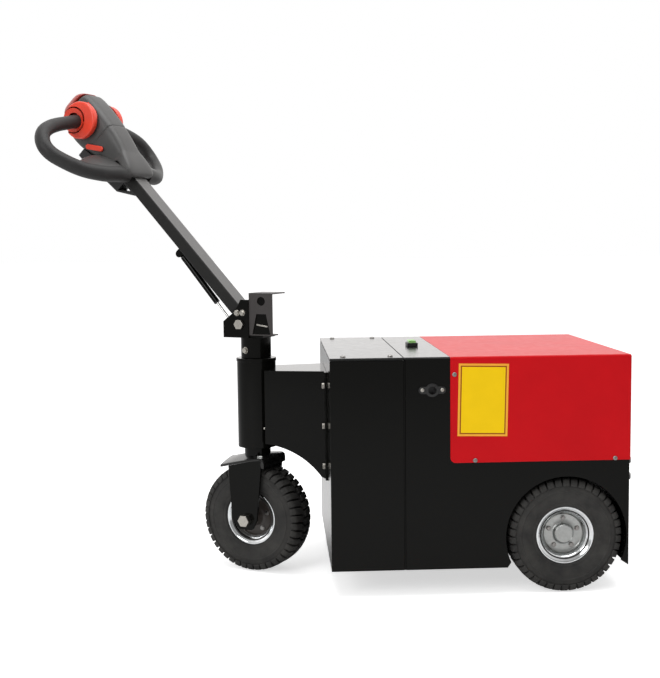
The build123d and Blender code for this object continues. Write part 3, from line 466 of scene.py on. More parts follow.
def crease_flats(mesh):
    """Keeps large flat faces flat where small faces of a rounded edge meet them."""
    bm = bmesh.new()
    bm.from_mesh(mesh)
    for edge in bm.edges:
        areas = sorted(face.calc_area() for face in edge.link_faces)
        if len(areas) == 2 and areas[1] > FLAT_SHARE * areas[0]:
            edge.smooth = False
    bm.to_mesh(mesh)
    bm.free()


def softened(node, material, body, width=0.0007, segments=2):
    """A CAD piece with its edges eased as folded, cut or cast edges are."""
    bm = bmesh.new()
    bm.from_mesh(NODES[node].data)
    bmesh.ops.remove_doubles(bm, verts=bm.verts, dist=1e-6)
    bmesh.ops.dissolve_limit(bm, angle_limit=math.radians(0.5), verts=bm.verts, edges=bm.edges)
    mesh = bpy.data.meshes.new("shape")
    bm.to_mesh(mesh)
    bm.free()
    eased = bevelled(mesh, width, segments)
    piece = fitted(f"{node}_dressed", eased, (material,), body, (node,), FOLD_CREASE)
    crease_flats(piece.data)
    return piece


def loft(rings, close_start=True, close_end=True):
    """Skin through rings of points, each ring the same length."""
    bm = bmesh.new()
    rows = [[bm.verts.new(point) for point in ring] for ring in rings]
    count = len(rows[0])
    for low, high in zip(rows, rows[1:]):
        for i in range(count):
            j = (i + 1) % count
            bm.faces.new((low[i], low[j], high[j], high[i]))
    if close_start:
        bm.faces.new(rows[0][::-1])
    if close_end:
        bm.faces.new(rows[-1])
    return bm


def turned(profile, steps):
    """Closed outline of (radius, across) pairs turned about the Y axis."""
    rings = []
    for i in range(steps):
        angle = 2 * math.pi * i / steps
        rings.append([(r * math.cos(angle), across, r * math.sin(angle)) for r, across in profile])
    bm = bmesh.new()
    rows = [[bm.verts.new(point) for point in ring] for ring in rings]
    count = len(profile)
    for i in range(steps):
        ahead = rows[(i + 1) % steps]
        for k in range(count):
            m = (k + 1) % count
            corners = (rows[i][k], rows[i][m], ahead[m], ahead[k])
            bm.faces.new(corners)
    return bm


def smooth_line(points, steps):
    """Points along a smooth curve through the given ones, each a tuple of any length."""
    size = len(points[0])
    padded = (points[0],) + tuple(points) + (points[-1],)
    line = []
    for a, b, c, d in zip(padded, padded[1:], padded[2:], padded[3:]):
        for step in range(steps):
            u = step / steps
            point = []
            for k in range(size):
                pull = (c[k] - a[k]) * u + (2 * a[k] - 5 * b[k] + 4 * c[k] - d[k]) * u * u
                pull += (3 * b[k] - a[k] - 3 * c[k] + d[k]) * u ** 3
                point.append(b[k] + 0.5 * pull)
            line.append(tuple(point))
    line.append(tuple(points[-1]))
    return line


# Fasteners, set out by a node tree on points that carry the way they face

def node_group(name, inputs, result):
    """Geometry node group with its inputs, given as name and kind, and one geometry result."""
    tree = bpy.data.node_groups.new(name, "GeometryNodeTree")
    for label, kind in inputs:
        tree.interface.new_socket(name=label, in_out="INPUT", socket_type=f"NodeSocket{kind}")
    tree.interface.new_socket(name=result, in_out="OUTPUT", socket_type="NodeSocketGeometry")
    return tree


def fastener_tree():
    """Puts one fastener on every point, facing the point's way and turned at random."""
    inputs = (("Points", "Geometry"), ("Fastener", "Object"), ("Size", "Float"), ("Turn Seed", "Int"),
              ("Finish", "Material"))
    tree = node_group("fastener_pattern", inputs, "Fasteners")
    make = tree.nodes.new
    given = make("NodeGroupInput")
    result = make("NodeGroupOutput")
    way = make("GeometryNodeInputNamedAttribute")
    way.data_type = "FLOAT_VECTOR"
    way.inputs["Name"].default_value = "way"
    align = make("FunctionNodeAlignRotationToVector")
    align.axis = "Z"
    spin = make("FunctionNodeRandomValue")
    spin.data_type = "FLOAT"
    spin.inputs[3].default_value = math.tau
    turn = make("FunctionNodeAxisAngleToRotation")
    turn.inputs["Axis"].default_value = (0.0, 0.0, 1.0)
    both = make("FunctionNodeRotateRotation")
    both.rotation_space = "LOCAL"
    shape = make("GeometryNodeObjectInfo")
    copies = make("GeometryNodeInstanceOnPoints")
    solid = make("GeometryNodeRealizeInstances")
    finish = make("GeometryNodeSetMaterial")
    join = tree.links.new
    join(way.outputs["Attribute"], align.inputs["Vector"])
    join(given.outputs["Turn Seed"], spin.inputs["Seed"])
    join(spin.outputs[1], turn.inputs["Angle"])
    join(align.outputs["Rotation"], both.inputs["Rotation"])
    join(turn.outputs["Rotation"], both.inputs["Rotate By"])
    join(given.outputs["Points"], copies.inputs["Points"])
    join(given.outputs["Fastener"], shape.inputs["Object"])
    join(shape.outputs["Geometry"], copies.inputs["Instance"])
    join(both.outputs["Rotation"], copies.inputs["Rotation"])
    join(given.outputs["Size"], copies.inputs["Scale"])
    join(copies.outputs["Instances"], solid.inputs["Geometry"])
    join(solid.outputs["Geometry"], finish.inputs["Geometry"])
    join(given.outputs["Finish"], finish.inputs["Material"])
    join(finish.outputs["Geometry"], result.inputs["Fasteners"])
    return tree


def set_inputs(modifier, tree, values):
    """Sets a tree's inputs by their names, before the object is first worked out."""
    for socket in tree.interface.items_tree:
        if socket.in_out == "INPUT" and socket.name in values:
            modifier[socket.identifier] = values[socket.name]


FASTENER_TREE = fastener_tree()


def fasteners(name, shape, places, size, seed, material, body):
    """One piece holding a fastener at every (place, way) pair."""
    mesh = bpy.data.meshes.new(name)
    mesh.from_pydata([place for place, way in places], [], [])
    ways = mesh.attributes.new("way", "FLOAT_VECTOR", "POINT")
    for item, (place, way) in zip(ways.data, places):
        item.vector = way
    carrier = new_object(name, mesh)
    modifier = carrier.modifiers.new("pattern", "NODES")
    modifier.node_group = FASTENER_TREE
    set_inputs(modifier, FASTENER_TREE,
               {"Fastener": shape, "Size": size, "Turn Seed": seed, "Finish": material})
    return fitted(name, baked(carrier), (), body)


def stacked(rows, sides):
    """Upright solid through circles of (radius, height), closed at both ends."""
    rings = []
    for radius, height in rows:
        ring = []
        for i in range(sides):
            angle = math.tau * i / sides
            ring.append((radius * math.cos(angle), radius * math.sin(angle), height))
        rings.append(ring)
    return loft(rings)


def pan_screw():
    """Pan head of unit radius with a cross recess."""
    bm = stacked(((1.0, -0.05), (1.0, 0.18), (0.93, 0.36), (0.72, 0.52), (0.40, 0.60)), 28)
    slot_half, slot_arm, slot_floor = 0.11, 0.46, 0.34
    top = [face for face in bm.faces if face.calc_center_median().z > 0.59]
    bmesh.ops.delete(bm, geom=top, context="FACES_ONLY")
    rim = [v for v in bm.verts if v.co.z > 0.59]
    rim.sort(key=lambda v: math.atan2(v.co.y, v.co.x))
    cross = []
    for quarter in range(4):
        turn = Matrix.Rotation(quarter * math.pi / 2, 3, "Z")
        for x, y in ((slot_arm * 0.8, -slot_half), (slot_arm * 0.8, slot_half), (slot_half, slot_half)):
            cross.append(turn @ Vector((x, y, 0.60)))
    upper = [bm.verts.new(point) for point in cross]
    lower = [bm.verts.new((point.x * 0.9, point.y * 0.9, slot_floor)) for point in cross]
    count = len(cross)
    for i in range(count):
        j = (i + 1) % count
        bm.faces.new((upper[i], upper[j], lower[j], lower[i]))
    bm.faces.new(lower)
    edges = [bm.edges.get((upper[i], upper[(i + 1) % count])) for i in range(count)]
    edges += [bm.edges.get((rim[i], rim[(i + 1) % len(rim)])) for i in range(len(rim))]
    bmesh.ops.triangle_fill(bm, edges=[e for e in edges if e], use_beauty=True)
    return new_object("pan_screw_shape", mesh_of(bm))


def hex_bolt():
    """Hexagon head of unit corner radius on a plain washer."""
    washer = stacked(((1.18, -0.05), (1.18, 0.10), (1.14, 0.14), (0.6, 0.14)), 32)
    head = stacked(((0.96, 0.14), (1.0, 0.18), (1.0, 0.68), (0.88, 0.80), (0.5, 0.82)), 6)
    mesh = mesh_of(head)
    washer.from_mesh(mesh)
    bpy.data.meshes.remove(mesh)
    return new_object("hex_bolt_shape", mesh_of(washer))


PAN_SCREW = pan_screw()
HEX_BOLT = hex_bolt()


# Wheels

def tyre_outline():
    """Half section from the bead over the sidewall's raised rings to the tread, then mirrored."""
    half = (
        (0.0535, 0.0285), (0.0610, 0.0292), (0.0648, 0.0305), (0.0668, 0.0335), (0.0690, 0.0352),
        (0.0715, 0.0362), (0.0735, 0.0358), (0.0748, 0.0366), (0.0800, 0.0388), (0.0870, 0.0406),
        (0.0940, 0.0414), (0.0985, 0.0415), (0.0997, 0.0424), (0.1013, 0.0424), (0.1025, 0.0413),
        (0.1070, 0.0406), (0.1120, 0.0394), (0.1165, 0.0376), (0.1195, 0.0352), (0.1215, 0.0318),
        (0.1225, 0.0270), (0.1228, 0.0160), (TREAD_BASE_R, 0.0060),
    )
    return half + tuple((r, -across) for r, across in reversed(half))


def shoulder_lug(side):
    """One tread block, from near the middle of the tread out over the shoulder."""
    outer = ((0.0045, 0.1293), (0.0170, 0.1293), (0.0290, 0.1288), (0.0362, 0.1266), (0.0402, 0.1222),
             (0.0422, 0.1165), (0.0424, 0.1130))
    sunk = ((0.0045, 0.1215), (0.0170, 0.1215), (0.0290, 0.1205), (0.0330, 0.1190), (0.0360, 0.1170),
            (0.0380, 0.1145), (0.0390, 0.1120))
    rows = []
    for (across, r), (low_across, low_r) in zip(outer, sunk):
        lean = LUG_SKEW * (1.0 - across / TYRE_HALF_W)
        half = LUG_W / 2 * (0.92 if across < 0.01 else 1.0)
        foot = half * 1.12
        rows.append([(lean - foot, side * low_across, low_r), (lean - half, side * across, r),
                     (lean + half, side * across, r), (lean + foot, side * low_across, low_r)])
    bm = loft(rows)
    return new_object("lug_shape", bevelled(mesh_of(bm), 0.0009, 1, 25.0))


def lug_tree():
    """Two staggered rows of tread blocks about the wheel's axle."""
    inputs = (("Carcass", "Geometry"), ("Near Block", "Object"), ("Far Block", "Object"), ("Count", "Int"),
              ("Finish", "Material"))
    tree = node_group("tread_blocks", inputs, "Tyre")
    make = tree.nodes.new
    join = tree.links.new
    given = make("NodeGroupInput")
    result = make("NodeGroupOutput")
    index = make("GeometryNodeInputIndex")
    merge = make("GeometryNodeJoinGeometry")
    finish = make("GeometryNodeSetMaterial")
    join(given.outputs["Carcass"], merge.inputs["Geometry"])
    for side, offset in (("Near Block", 0.0), ("Far Block", 0.5)):
        row = make("GeometryNodeMeshLine")
        row.inputs["Offset"].default_value = (0.0, 0.0, 0.0)
        shifted = make("ShaderNodeMath")
        shifted.operation = "ADD"
        shifted.inputs[1].default_value = offset
        share = make("ShaderNodeMath")
        share.operation = "DIVIDE"
        angle = make("ShaderNodeMath")
        angle.operation = "MULTIPLY"
        angle.inputs[1].default_value = math.tau
        turn = make("FunctionNodeAxisAngleToRotation")
        turn.inputs["Axis"].default_value = (0.0, 1.0, 0.0)
        shape = make("GeometryNodeObjectInfo")
        copies = make("GeometryNodeInstanceOnPoints")
        solid = make("GeometryNodeRealizeInstances")
        join(given.outputs["Count"], row.inputs["Count"])
        join(index.outputs["Index"], shifted.inputs[0])
        join(shifted.outputs["Value"], share.inputs[0])
        join(given.outputs["Count"], share.inputs[1])
        join(share.outputs["Value"], angle.inputs[0])
        join(angle.outputs["Value"], turn.inputs["Angle"])
        join(given.outputs[side], shape.inputs["Object"])
        join(row.outputs["Mesh"], copies.inputs["Points"])
        join(shape.outputs["Geometry"], copies.inputs["Instance"])
        join(turn.outputs["Rotation"], copies.inputs["Rotation"])
        join(copies.outputs["Instances"], solid.inputs["Geometry"])
        join(solid.outputs["Geometry"], merge.inputs["Geometry"])
    join(merge.outputs["Geometry"], finish.inputs["Geometry"])
    join(given.outputs["Finish"], finish.inputs["Material"])
    join(finish.outputs["Geometry"], result.inputs["Tyre"])
    return tree


LUG_TREE = lug_tree()
NEAR_LUG = shoulder_lug(-1.0)
FAR_LUG = shoulder_lug(1.0)


def wheel_place(node, turn):
    """Frame at a wheel's middle, its axle along the turned Y axis."""
    low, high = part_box(node)
    return Matrix.Translation((low + high) / 2) @ Matrix.Rotation(turn, 4, "Z")


def dress_tyre(node, body, turn):
    """Tyre turned from its section, with both rows of tread blocks."""
    carcass = new_object(f"{node}_treaded", mesh_of(turned(tyre_outline(), WHEEL_STEPS)))
    modifier = carcass.modifiers.new("tread", "NODES")
    modifier.node_group = LUG_TREE
    set_inputs(modifier, LUG_TREE, {"Near Block": NEAR_LUG, "Far Block": FAR_LUG,
                                    "Count": LUG_COUNT, "Finish": TYRE_RUBBER})
    mesh = baked(carcass)
    mesh.transform(wheel_place(node, turn))
    return fitted(f"{node}_treaded", mesh, (), body, (node,))


def rim_outline(hub):
    """Pressed rim section: hub, dished disc, cone and rolled lips; positive is the outer face."""
    outer_face = (
        (0.0215, RIM_DISC_Y + 0.0040), (0.0240, RIM_DISC_Y + 0.0010), (0.0262, RIM_DISC_Y),
        (0.0420, RIM_DISC_Y), (0.0445, RIM_DISC_Y + 0.0012), (RIM_DISC_R, RIM_DISC_Y + 0.0046),
        (0.0488, 0.0215), (0.0508, 0.0245),
        (0.0550, 0.0277), (0.0600, 0.0312), (0.0618, 0.0326), (0.0634, 0.0330), (0.0647, 0.0325),
        (0.0651, 0.0311), (0.0645, 0.0298), (0.0600, 0.0291), (0.0540, 0.0285), (0.0532, 0.0250),
    )
    inner_face = (
        (0.0532, -0.0250), (0.0540, -0.0285), (0.0600, -0.0291), (0.0645, -0.0298), (0.0651, -0.0311),
        (0.0647, -0.0325), (0.0634, -0.0330), (0.0600, -0.0320), (0.0520, -0.0262), (0.0492, -0.0200),
        (0.0490, -0.0030), (0.0462, 0.0050), (0.0430, 0.0072), (0.0262, 0.0072), (0.0240, 0.0050),
    )
    return outer_face + inner_face + hub


def front_hub():
    """Hub of the front rim, bored for its axle."""
    bore = 0.0101
    return ((0.0240, -FRONT_HUB_Y + 0.001), (0.0230, -FRONT_HUB_Y), (bore, -FRONT_HUB_Y), (bore, FRONT_HUB_Y),
            (0.0205, FRONT_HUB_Y), (0.0215, FRONT_HUB_Y - 0.001))


def rear_hub():
    """Closed hub of a rear rim with its own shaft."""
    low, high = REAR_HUB_Y
    return ((0.0240, low + 0.001), (0.0230, low), (SHAFT_R, low), (SHAFT_R, SHAFT_END_Y), (0.0, SHAFT_END_Y),
            (0.0, high), (0.0190, high), (0.0215, high - 0.0025))


def dress_rim(node, body, turn, side, hub, disc_finish):
    """Rim with its outer face towards `side` (-1 near, 1 far) and its bolts round the hub."""
    bm = turned(rim_outline(hub), RIM_STEPS)
    for face in bm.faces:
        spot = face.calc_center_median()
        if math.hypot(spot.x, spot.z) < RIM_DISC_R:
            face.material_index = 1
    if side < 0:
        bm.transform(Matrix.Rotation(math.pi, 4, "Z"))
    place = wheel_place(node.replace("rim", "tyre"), turn)
    finishes = (CHROME, disc_finish)
    fitted(f"{node}_pressed", mesh_of(bm, place), finishes, body, (node,), RIM_CREASE)
    seats = []
    facing = (place.to_3x3() @ Vector((0.0, side, 0.0))).normalized()
    for i in range(RIM_BOLT_COUNT):
        angle = math.tau * i / RIM_BOLT_COUNT + RIM_BOLT_PHASE
        x = RIM_BOLT_CIRCLE * math.cos(angle)
        z = RIM_BOLT_CIRCLE * math.sin(angle)
        seats.append((place @ Vector((x, side * RIM_DISC_Y, z)), facing))
    fasteners(f"{node}_bolts", HEX_BOLT, seats, RIM_BOLT_R, 3, SCREW_STEEL, body)


dress_tyre("front_tyre", "front_wheel", STEER_REST)
dress_tyre("rear_tyre_near", "rear_wheel_near", 0.0)
dress_tyre("rear_tyre_far", "rear_wheel_far", 0.0)
dress_rim("front_rim", "front_wheel", STEER_REST, -1.0, front_hub(), DISC_PAINT)
dress_rim("rear_rim_near", "rear_wheel_near", 0.0, -1.0, rear_hub(), DISC_STEEL)
dress_rim("rear_rim_far", "rear_wheel_far", 0.0, 1.0, rear_hub(), DISC_STEEL)


# Steel body and steering pieces with eased edges

def paint_arm_highlight(arm):
    """Paints a highlight on the arm's upper face: faces that point up take a paler copy of its coat."""
    arm.data.materials.append(ARM_TOP_PAINTED_HIGHLIGHT)
    arm_up = (TILTED.to_3x3() @ Vector((1.0, 0.0, 0.0))).normalized()
    for face in arm.data.polygons:
        if face.normal.dot(arm_up) > ARM_HIGHLIGHT_FACING:
            face.material_index = 1


for enamelled in ("front_box", "side_panel_near", "side_panel_far", "floor_pan", "rear_panel",
                  "battery_tray", "bulkhead", "neck", "head_tube", "tow_jaw"):
    softened(enamelled, BLACK_ENAMEL, "chassis")
for top_sheet in ("front_lid", "switch_deck"):
    softened(top_sheet, LID_ENAMEL, "chassis")
for coated in ("fork_legs", "steering_stem", "tiller_foot"):
    softened(coated, BLACK_ENAMEL, "steering")
softened("switch_bracket", BRACKET_COAT, "steering", 0.0004)
softened("tilt_switch", BLACK_ENAMEL, "steering", 0.0006)
softened("rear_cover", RED_ENAMEL, "chassis", 0.0005)
softened("flange_bolts", ZINC, "chassis", 0.0006)
softened("front_axle", ZINC, "steering", 0.0009)
softened("pivot_bolt", ZINC, "steering", 0.0009)
softened("battery_pack", BATTERY_PLASTIC, "chassis", 0.004, 3)
# The arm's upward faces take a painted highlight
paint_arm_highlight(softened("tiller_arm", ARM_COAT, "tiller", 0.0008))
softened("tiller_knuckle", ARM_COAT, "tiller", 0.0012)
softened("handle_base", BLACK_PLASTIC, "tiller", 0.0016, 3)
softened("side_buttons", ORANGE_PLASTIC, "tiller", 0.0014, 3)
softened("charge_socket", BLACK_PLASTIC, "chassis", 0.0006)

# Pieces that keep their CAD shape and only take a finish
PLAIN_FINISHES = {
    "lid_gasket": SEAL_RUBBER,
    "wheel_wells": BLACK_ENAMEL,
    "drive_unit": CAST_METAL,
    "spring_lug": BLACK_ENAMEL,
    "spring_cylinder": BLACK_ENAMEL,
    "spring_rod": STEEL_ROD,
}
for node, material in PLAIN_FINISHES.items():
    NODES[node].data.materials.clear()
    NODES[node].data.materials.append(material)


# Blank yellow plate on the cover's near side

def yellow_plate():
    """Plain yellow film with a thin printed border, as a low plate on the red cover."""
    half_x = (PLATE_X[1] - PLATE_X[0]) / 2
    half_z = (PLATE_Z[1] - PLATE_Z[0]) / 2
    bm = bmesh.new()
    insets = (0.0, PLATE_MARGIN, PLATE_MARGIN + PLATE_LINE)
    rings = []
    for inset in insets:
        x, z = half_x - inset, half_z - inset
        rings.append([bm.verts.new(corner) for corner in ((-x, 0, -z), (x, 0, -z), (x, 0, z), (-x, 0, z))])
    for band, (outer, inner) in enumerate(zip(rings, rings[1:])):
        for i in range(4):
            j = (i + 1) % 4
            bm.faces.new((outer[i], outer[j], inner[j], inner[i])).material_index = band
    bm.faces.new(rings[-1]).material_index = len(insets) - 1
    back = bmesh.ops.extrude_face_region(bm, geom=list(bm.faces))
    raised = [item for item in back["geom"] if isinstance(item, bmesh.types.BMVert)]
    bmesh.ops.translate(bm, verts=raised, vec=(0.0, -PLATE_T, 0.0))
    middle = Vector((sum(PLATE_X) / 2, -BODY_HALF_W - COVER_SKIN, sum(PLATE_Z) / 2))
    place = BODY_FRAME @ Matrix.Translation(middle) @ Matrix.Rotation(PLATE_TURN, 4, "Y")
    bands = (PLATE_EDGE_AMBER, PLATE_LINE_BROWN, PLATE_YELLOW)
    fitted("yellow_plate", mesh_of(bm, place), bands, "chassis")


yellow_plate()


# Screws and bolts on the body

def body_fasteners():
    """Screws of the lid, of the cover on both sides and of the charge socket."""
    up = Vector((0.0, 0.0, 1.0))
    near = Vector((0.0, -1.0, 0.0))
    lid = []
    for x in LID_SCREW_X:
        for y in (-LID_SCREW_Y, LID_SCREW_Y):
            lid.append((BODY_FRAME @ Vector((x, y, BODY_TOP)), up))
    fasteners("lid_screws", PAN_SCREW, lid, LID_SCREW_R, 11, SCREW_STEEL, "chassis")
    cover = []
    socket = []
    for side in (-1.0, 1.0):
        way = Vector((0.0, side, 0.0))
        for x, z in COVER_SCREWS:
            cover.append((BODY_FRAME @ Vector((x, side * (BODY_HALF_W + COVER_SKIN - SCREW_SINK), z)), way))
    for x in (SOCKET_X - SOCKET_PITCH / 2, SOCKET_X + SOCKET_PITCH / 2):
        socket.append((BODY_FRAME @ Vector((x, -BODY_HALF_W - SOCKET_SEAT, SOCKET_Z)), near))
    fasteners("cover_screws", PAN_SCREW, cover, COVER_SCREW_R, 5, SCREW_STEEL, "chassis")
    fasteners("socket_screws", PAN_SCREW, socket, SOCKET_SCREW_R, 8, ZINC, "chassis")


body_fasteners()


# Rocker switch on the deck and the small fittings of the steering

def box_mesh(low, high, place, width, segments=2):
    """Block between two corners with eased edges, put in its place."""
    bm = bmesh.new()
    bmesh.ops.create_cube(bm, size=1.0)
    for vert in bm.verts:
        vert.co = [(low[k] + high[k]) / 2 + vert.co[k] * (high[k] - low[k]) for k in range(3)]
    return bevelled(mesh_of(bm, place), width, segments)


def deck_switch():
    """Black frame with a green rocker that dips in its middle."""
    x, y = SWITCH_HALF
    top = BODY_TOP + SWITCH_BEZEL_H
    mesh = box_mesh((SWITCH_X - x, -y, BODY_TOP), (SWITCH_X + x, y, top), BODY_FRAME, 0.0012)
    replaced = ("power_switch",)
    fitted("switch_frame", mesh, (BLACK_PLASTIC,), "chassis", replaced, FOLD_CREASE)
    rx, ry = ROCKER_HALF
    rings = []
    foot = BODY_TOP + ROCKER_FOOT
    for step in range(ROCKER_STATIONS + 1):
        share = 2.0 * step / ROCKER_STATIONS - 1.0
        rise = 1.0 - ROCKER_DIP + ROCKER_DIP * share * share
        top = BODY_TOP + SWITCH_BEZEL_H + (ROCKER_H - SWITCH_BEZEL_H) * rise
        y_here = share * ry
        rings.append([(SWITCH_X - rx, y_here, foot), (SWITCH_X - rx, y_here, top),
                      (SWITCH_X + rx, y_here, top), (SWITCH_X + rx, y_here, foot)])
    rocker = bevelled(mesh_of(loft(rings), BODY_FRAME), 0.0006)
    fitted("switch_rocker", rocker, (GREEN_PLASTIC,), "chassis", (), FOLD_CREASE)


def steering_fittings():
    """Cheek bolts, the stem's clamp bolt, the seam's nipple and the lever in the bracket's window."""
    near = STEERED.to_3x3() @ Vector((0.0, -1.0, 0.0))
    cheek = [(STEERED @ Vector((x, -CHEEK_OUT_Y, z)), near) for x, z in CHEEK_BOLTS]
    fasteners("cheek_bolts", HEX_BOLT, cheek, CHEEK_BOLT_R, 2, ZINC, "steering")
    x, z = STEM_BOLT
    spot = Vector((x, -math.sqrt(STEM_TOP_R ** 2 - x ** 2), 0.0))
    clamp = [(BODY_FRAME @ (spot + Vector((0.0, 0.0, z))), spot.normalized())]
    fasteners("stem_clamp_bolt", HEX_BOLT, clamp, STEM_BOLT_R, 4, ZINC, "steering")
    nipple = [(BODY_FRAME @ Vector(SEAM_NIPPLE), Vector((0.0, -1.0, 0.0)))]
    fasteners("seam_nipple", PAN_SCREW, nipple, SEAM_NIPPLE_R, 6, ZINC, "chassis")
    half = LEVER_H / 2
    reach = (LEVER_X[1] - LEVER_X[0]) / 2
    middle = Matrix.Translation((sum(LEVER_X) / 2, 0.0, LEVER_Z)) @ Matrix.Rotation(LEVER_TURN, 4, "Y")
    lever = box_mesh((-reach, -LEVER_Y[0], -half), (reach, -LEVER_Y[1], half), STEERED @ middle, 0.0004)
    fitted("switch_lever", lever, (ZINC,), "steering", (), FOLD_CREASE)


def fork_crown():
    """Plate of even thickness, bent down into a lip behind, with a bolt on its near corner."""
    back_x = CROWN_LINE[-1][0]
    inner_x = back_x - CROWN_T
    rings = []
    for step in range(CROWN_STATIONS + 1):
        share = 2.0 * step / CROWN_STATIONS - 1.0
        ridge = CROWN_RIDGE * (1.0 - abs(share) ** CROWN_RIDGE_POWER)
        b = share * CROWN_HALF_W
        top = [(x, b, CROWN_Z + x * CROWN_SLOPE - drop + ridge * part) for x, drop, part in CROWN_LINE]
        under = [(x, b, z - CROWN_T) for x, b, z in top if x < inner_x]
        lip = [(back_x, b, CROWN_LIP_Z), (inner_x, b, CROWN_LIP_Z)]
        rings.append(top + lip + under[::-1])
    crown = bevelled(mesh_of(loft(rings), STEERED), 0.0006)
    fitted("crown_plate", crown, (LID_ENAMEL,), "steering", ("fork_crown",), CROWN_CREASE)
    x, b = CROWN_BOLT
    seat = Vector((x, b, CROWN_Z + x * CROWN_SLOPE - CROWN_BOLT_DROP))
    bolt = [(STEERED @ seat, Vector((0.0, 0.0, 1.0)))]
    fasteners("crown_bolt", HEX_BOLT, bolt, CROWN_BOLT_R, 9, DISC_STEEL, "steering")


deck_switch()
steering_fittings()
fork_crown()


# Tiller head, nose button, wings and grip loops

SIDE_NAMES = {-1.0: "near", 1.0: "far"}


def head_ring(t, low, high, half_low, half_high):
    """Rounded-square section across the head, narrower towards its upper face."""
    middle, reach = (low + high) / 2, (high - low) / 2
    power = 2.0 / HEAD_SQUARENESS
    ring = []
    for i in range(HEAD_SIDES):
        angle = math.tau * (i + 0.5) / HEAD_SIDES
        c, s = math.cos(angle), math.sin(angle)
        rise = math.copysign(abs(c) ** power, c)
        across = math.copysign(abs(s) ** power, s)
        half = half_low + (half_high - half_low) * (rise + 1.0) / 2
        ring.append((middle + reach * rise, half * across, t))
    return ring


def section_at(t):
    """Head section between the listed ones."""
    for low, high in zip(HEAD_SECTIONS, HEAD_SECTIONS[1:]):
        if low[0] <= t <= high[0]:
            share = (t - low[0]) / (high[0] - low[0])
            return tuple(a + (b - a) * share for a, b in zip(low, high))
    return HEAD_SECTIONS[-1]


def tiller_head():
    """Head shell with the seam round it, and the nose in front."""
    seam = ((-SEAM_W, 0.0), (-SEAM_W / 3, SEAM_DEPTH), (SEAM_W / 3, SEAM_DEPTH), (SEAM_W, 0.0))
    sections = list(HEAD_SECTIONS)
    for shift, depth in seam:
        t, low, high, half_low, half_high = section_at(HEAD_SEAM_T + shift)
        sections.append((t, low + depth, high - depth, half_low - depth, half_high - depth))
    rings = [head_ring(*section) for section in sorted(sections)]
    shell = smoothed(mesh_of(loft(rings), TILTED), HEAD_SMOOTHING)
    fitted("tiller_head_shell", shell, (HEAD_PLASTIC,), "tiller",
           ("tiller_head",), HEAD_CREASE)
    rings = [head_ring(*section) for section in NOSE_SECTIONS]
    nose = smoothed(mesh_of(loft(rings), TILTED), HEAD_SMOOTHING)
    fitted("nose_button", nose, (NOSE_PLASTIC,), "tiller", ("belly_button",), HEAD_CREASE)


def grip_loop(side):
    """Tube along the loop's smooth line, thickening towards its heel."""
    line = smooth_line(LOOP_PATH, LOOP_STEPS)
    points = [Vector((p, side * b, t)) for t, p, b, radius in line]
    rings = []
    across = Vector((1.0, 0.0, 0.0))
    for i, point in enumerate(points):
        ahead = points[min(i + 1, len(points) - 1)] - points[max(i - 1, 0)]
        ahead.normalize()
        first = (across - ahead * across.dot(ahead)).normalized()
        second = ahead.cross(first)
        radius = line[i][3]
        ring = []
        for k in range(LOOP_SIDES):
            angle = math.tau * k / LOOP_SIDES
            ring.append(point + radius * (math.cos(angle) * first + math.sin(angle) * second))
        rings.append(ring)
    mesh = mesh_of(loft(rings), TILTED)
    node = f"handle_loop_{SIDE_NAMES[side]}"
    fitted(f"grip_loop_{SIDE_NAMES[side]}", mesh, (GRIP_RUBBER,), "tiller",
           (node,), GRIP_CREASE)


def palm_plate(side):
    """Plate that widens the loop's heel towards the head, its upper face sloping up the arm."""
    rings = []
    for b, mid_t, mid_p, reach, depth in smooth_line(PALM_SECTIONS, PALM_STEPS):
        ring = []
        for k in range(LOOP_SIDES):
            angle = math.tau * k / LOOP_SIDES
            c, s = math.cos(angle), math.sin(angle)
            along = reach * math.copysign(abs(c) ** PALM_ROUNDING, c)
            rise = depth * math.copysign(abs(s) ** PALM_ROUNDING, s)
            ring.append((mid_p + rise - PALM_SLOPE * along, side * b, mid_t + along))
        rings.append(ring)
    mesh = mesh_of(loft(rings), TILTED)
    fitted(f"palm_plate_{SIDE_NAMES[side]}", mesh, (HEAD_PLASTIC,), "tiller",
           (), HEAD_CREASE)


def wing_dish(side):
    """Orange slope from the wing's inner edge down to the loop's root."""
    mid_p, mid_t = DISH_MIDDLE
    rings = []
    for step in range(DISH_STEPS + 1):
        angle = math.tau * step / DISH_STEPS
        ring = []
        for radius, b in (DISH_RIM, DISH_FLOOR, (DISH_FLOOR[0], DISH_FLOOR[1] - DISH_WALL),
                          (DISH_RIM[0], DISH_RIM[1] - DISH_WALL)):
            ring.append((mid_p + radius * math.cos(angle), side * b, mid_t + radius * math.sin(angle)))
        rings.append(ring)
    mesh = mesh_of(loft(rings, False, False), TILTED)
    fitted(f"wing_dish_{SIDE_NAMES[side]}", mesh, (ORANGE_PLASTIC,), "tiller")


tiller_head()
for side in SIDE_NAMES:
    grip_loop(side)
    palm_plate(side)
    wing_dish(side)
softened("drive_wings", ORANGE_PLASTIC, "tiller", 0.004, 4)

for shape in (PAN_SCREW, HEX_BOLT, NEAR_LUG, FAR_LUG):
    bpy.data.objects.remove(shape)


# Studio and camera

CAMERA_FROM_AXIS = Vector((0.04782, -2.71702, 0.79737))
CAMERA_YAW = 0.048
CAMERA_PITCH = 0.0878
CAMERA_ROLL = 0.0111
FOCAL_PIXELS = 1131.32
IMAGE_HEIGHT = 678
SENSOR = 36.0
WHITE = (1.0, 1.0, 1.0, 1.0)
FLOOR_REACH = 40.0
FLOOR_GLOW = 0.6
WORLD_LIGHT = 0.55
ROOM_DIM = 0.35
ROOM_BRIGHT = 1.5


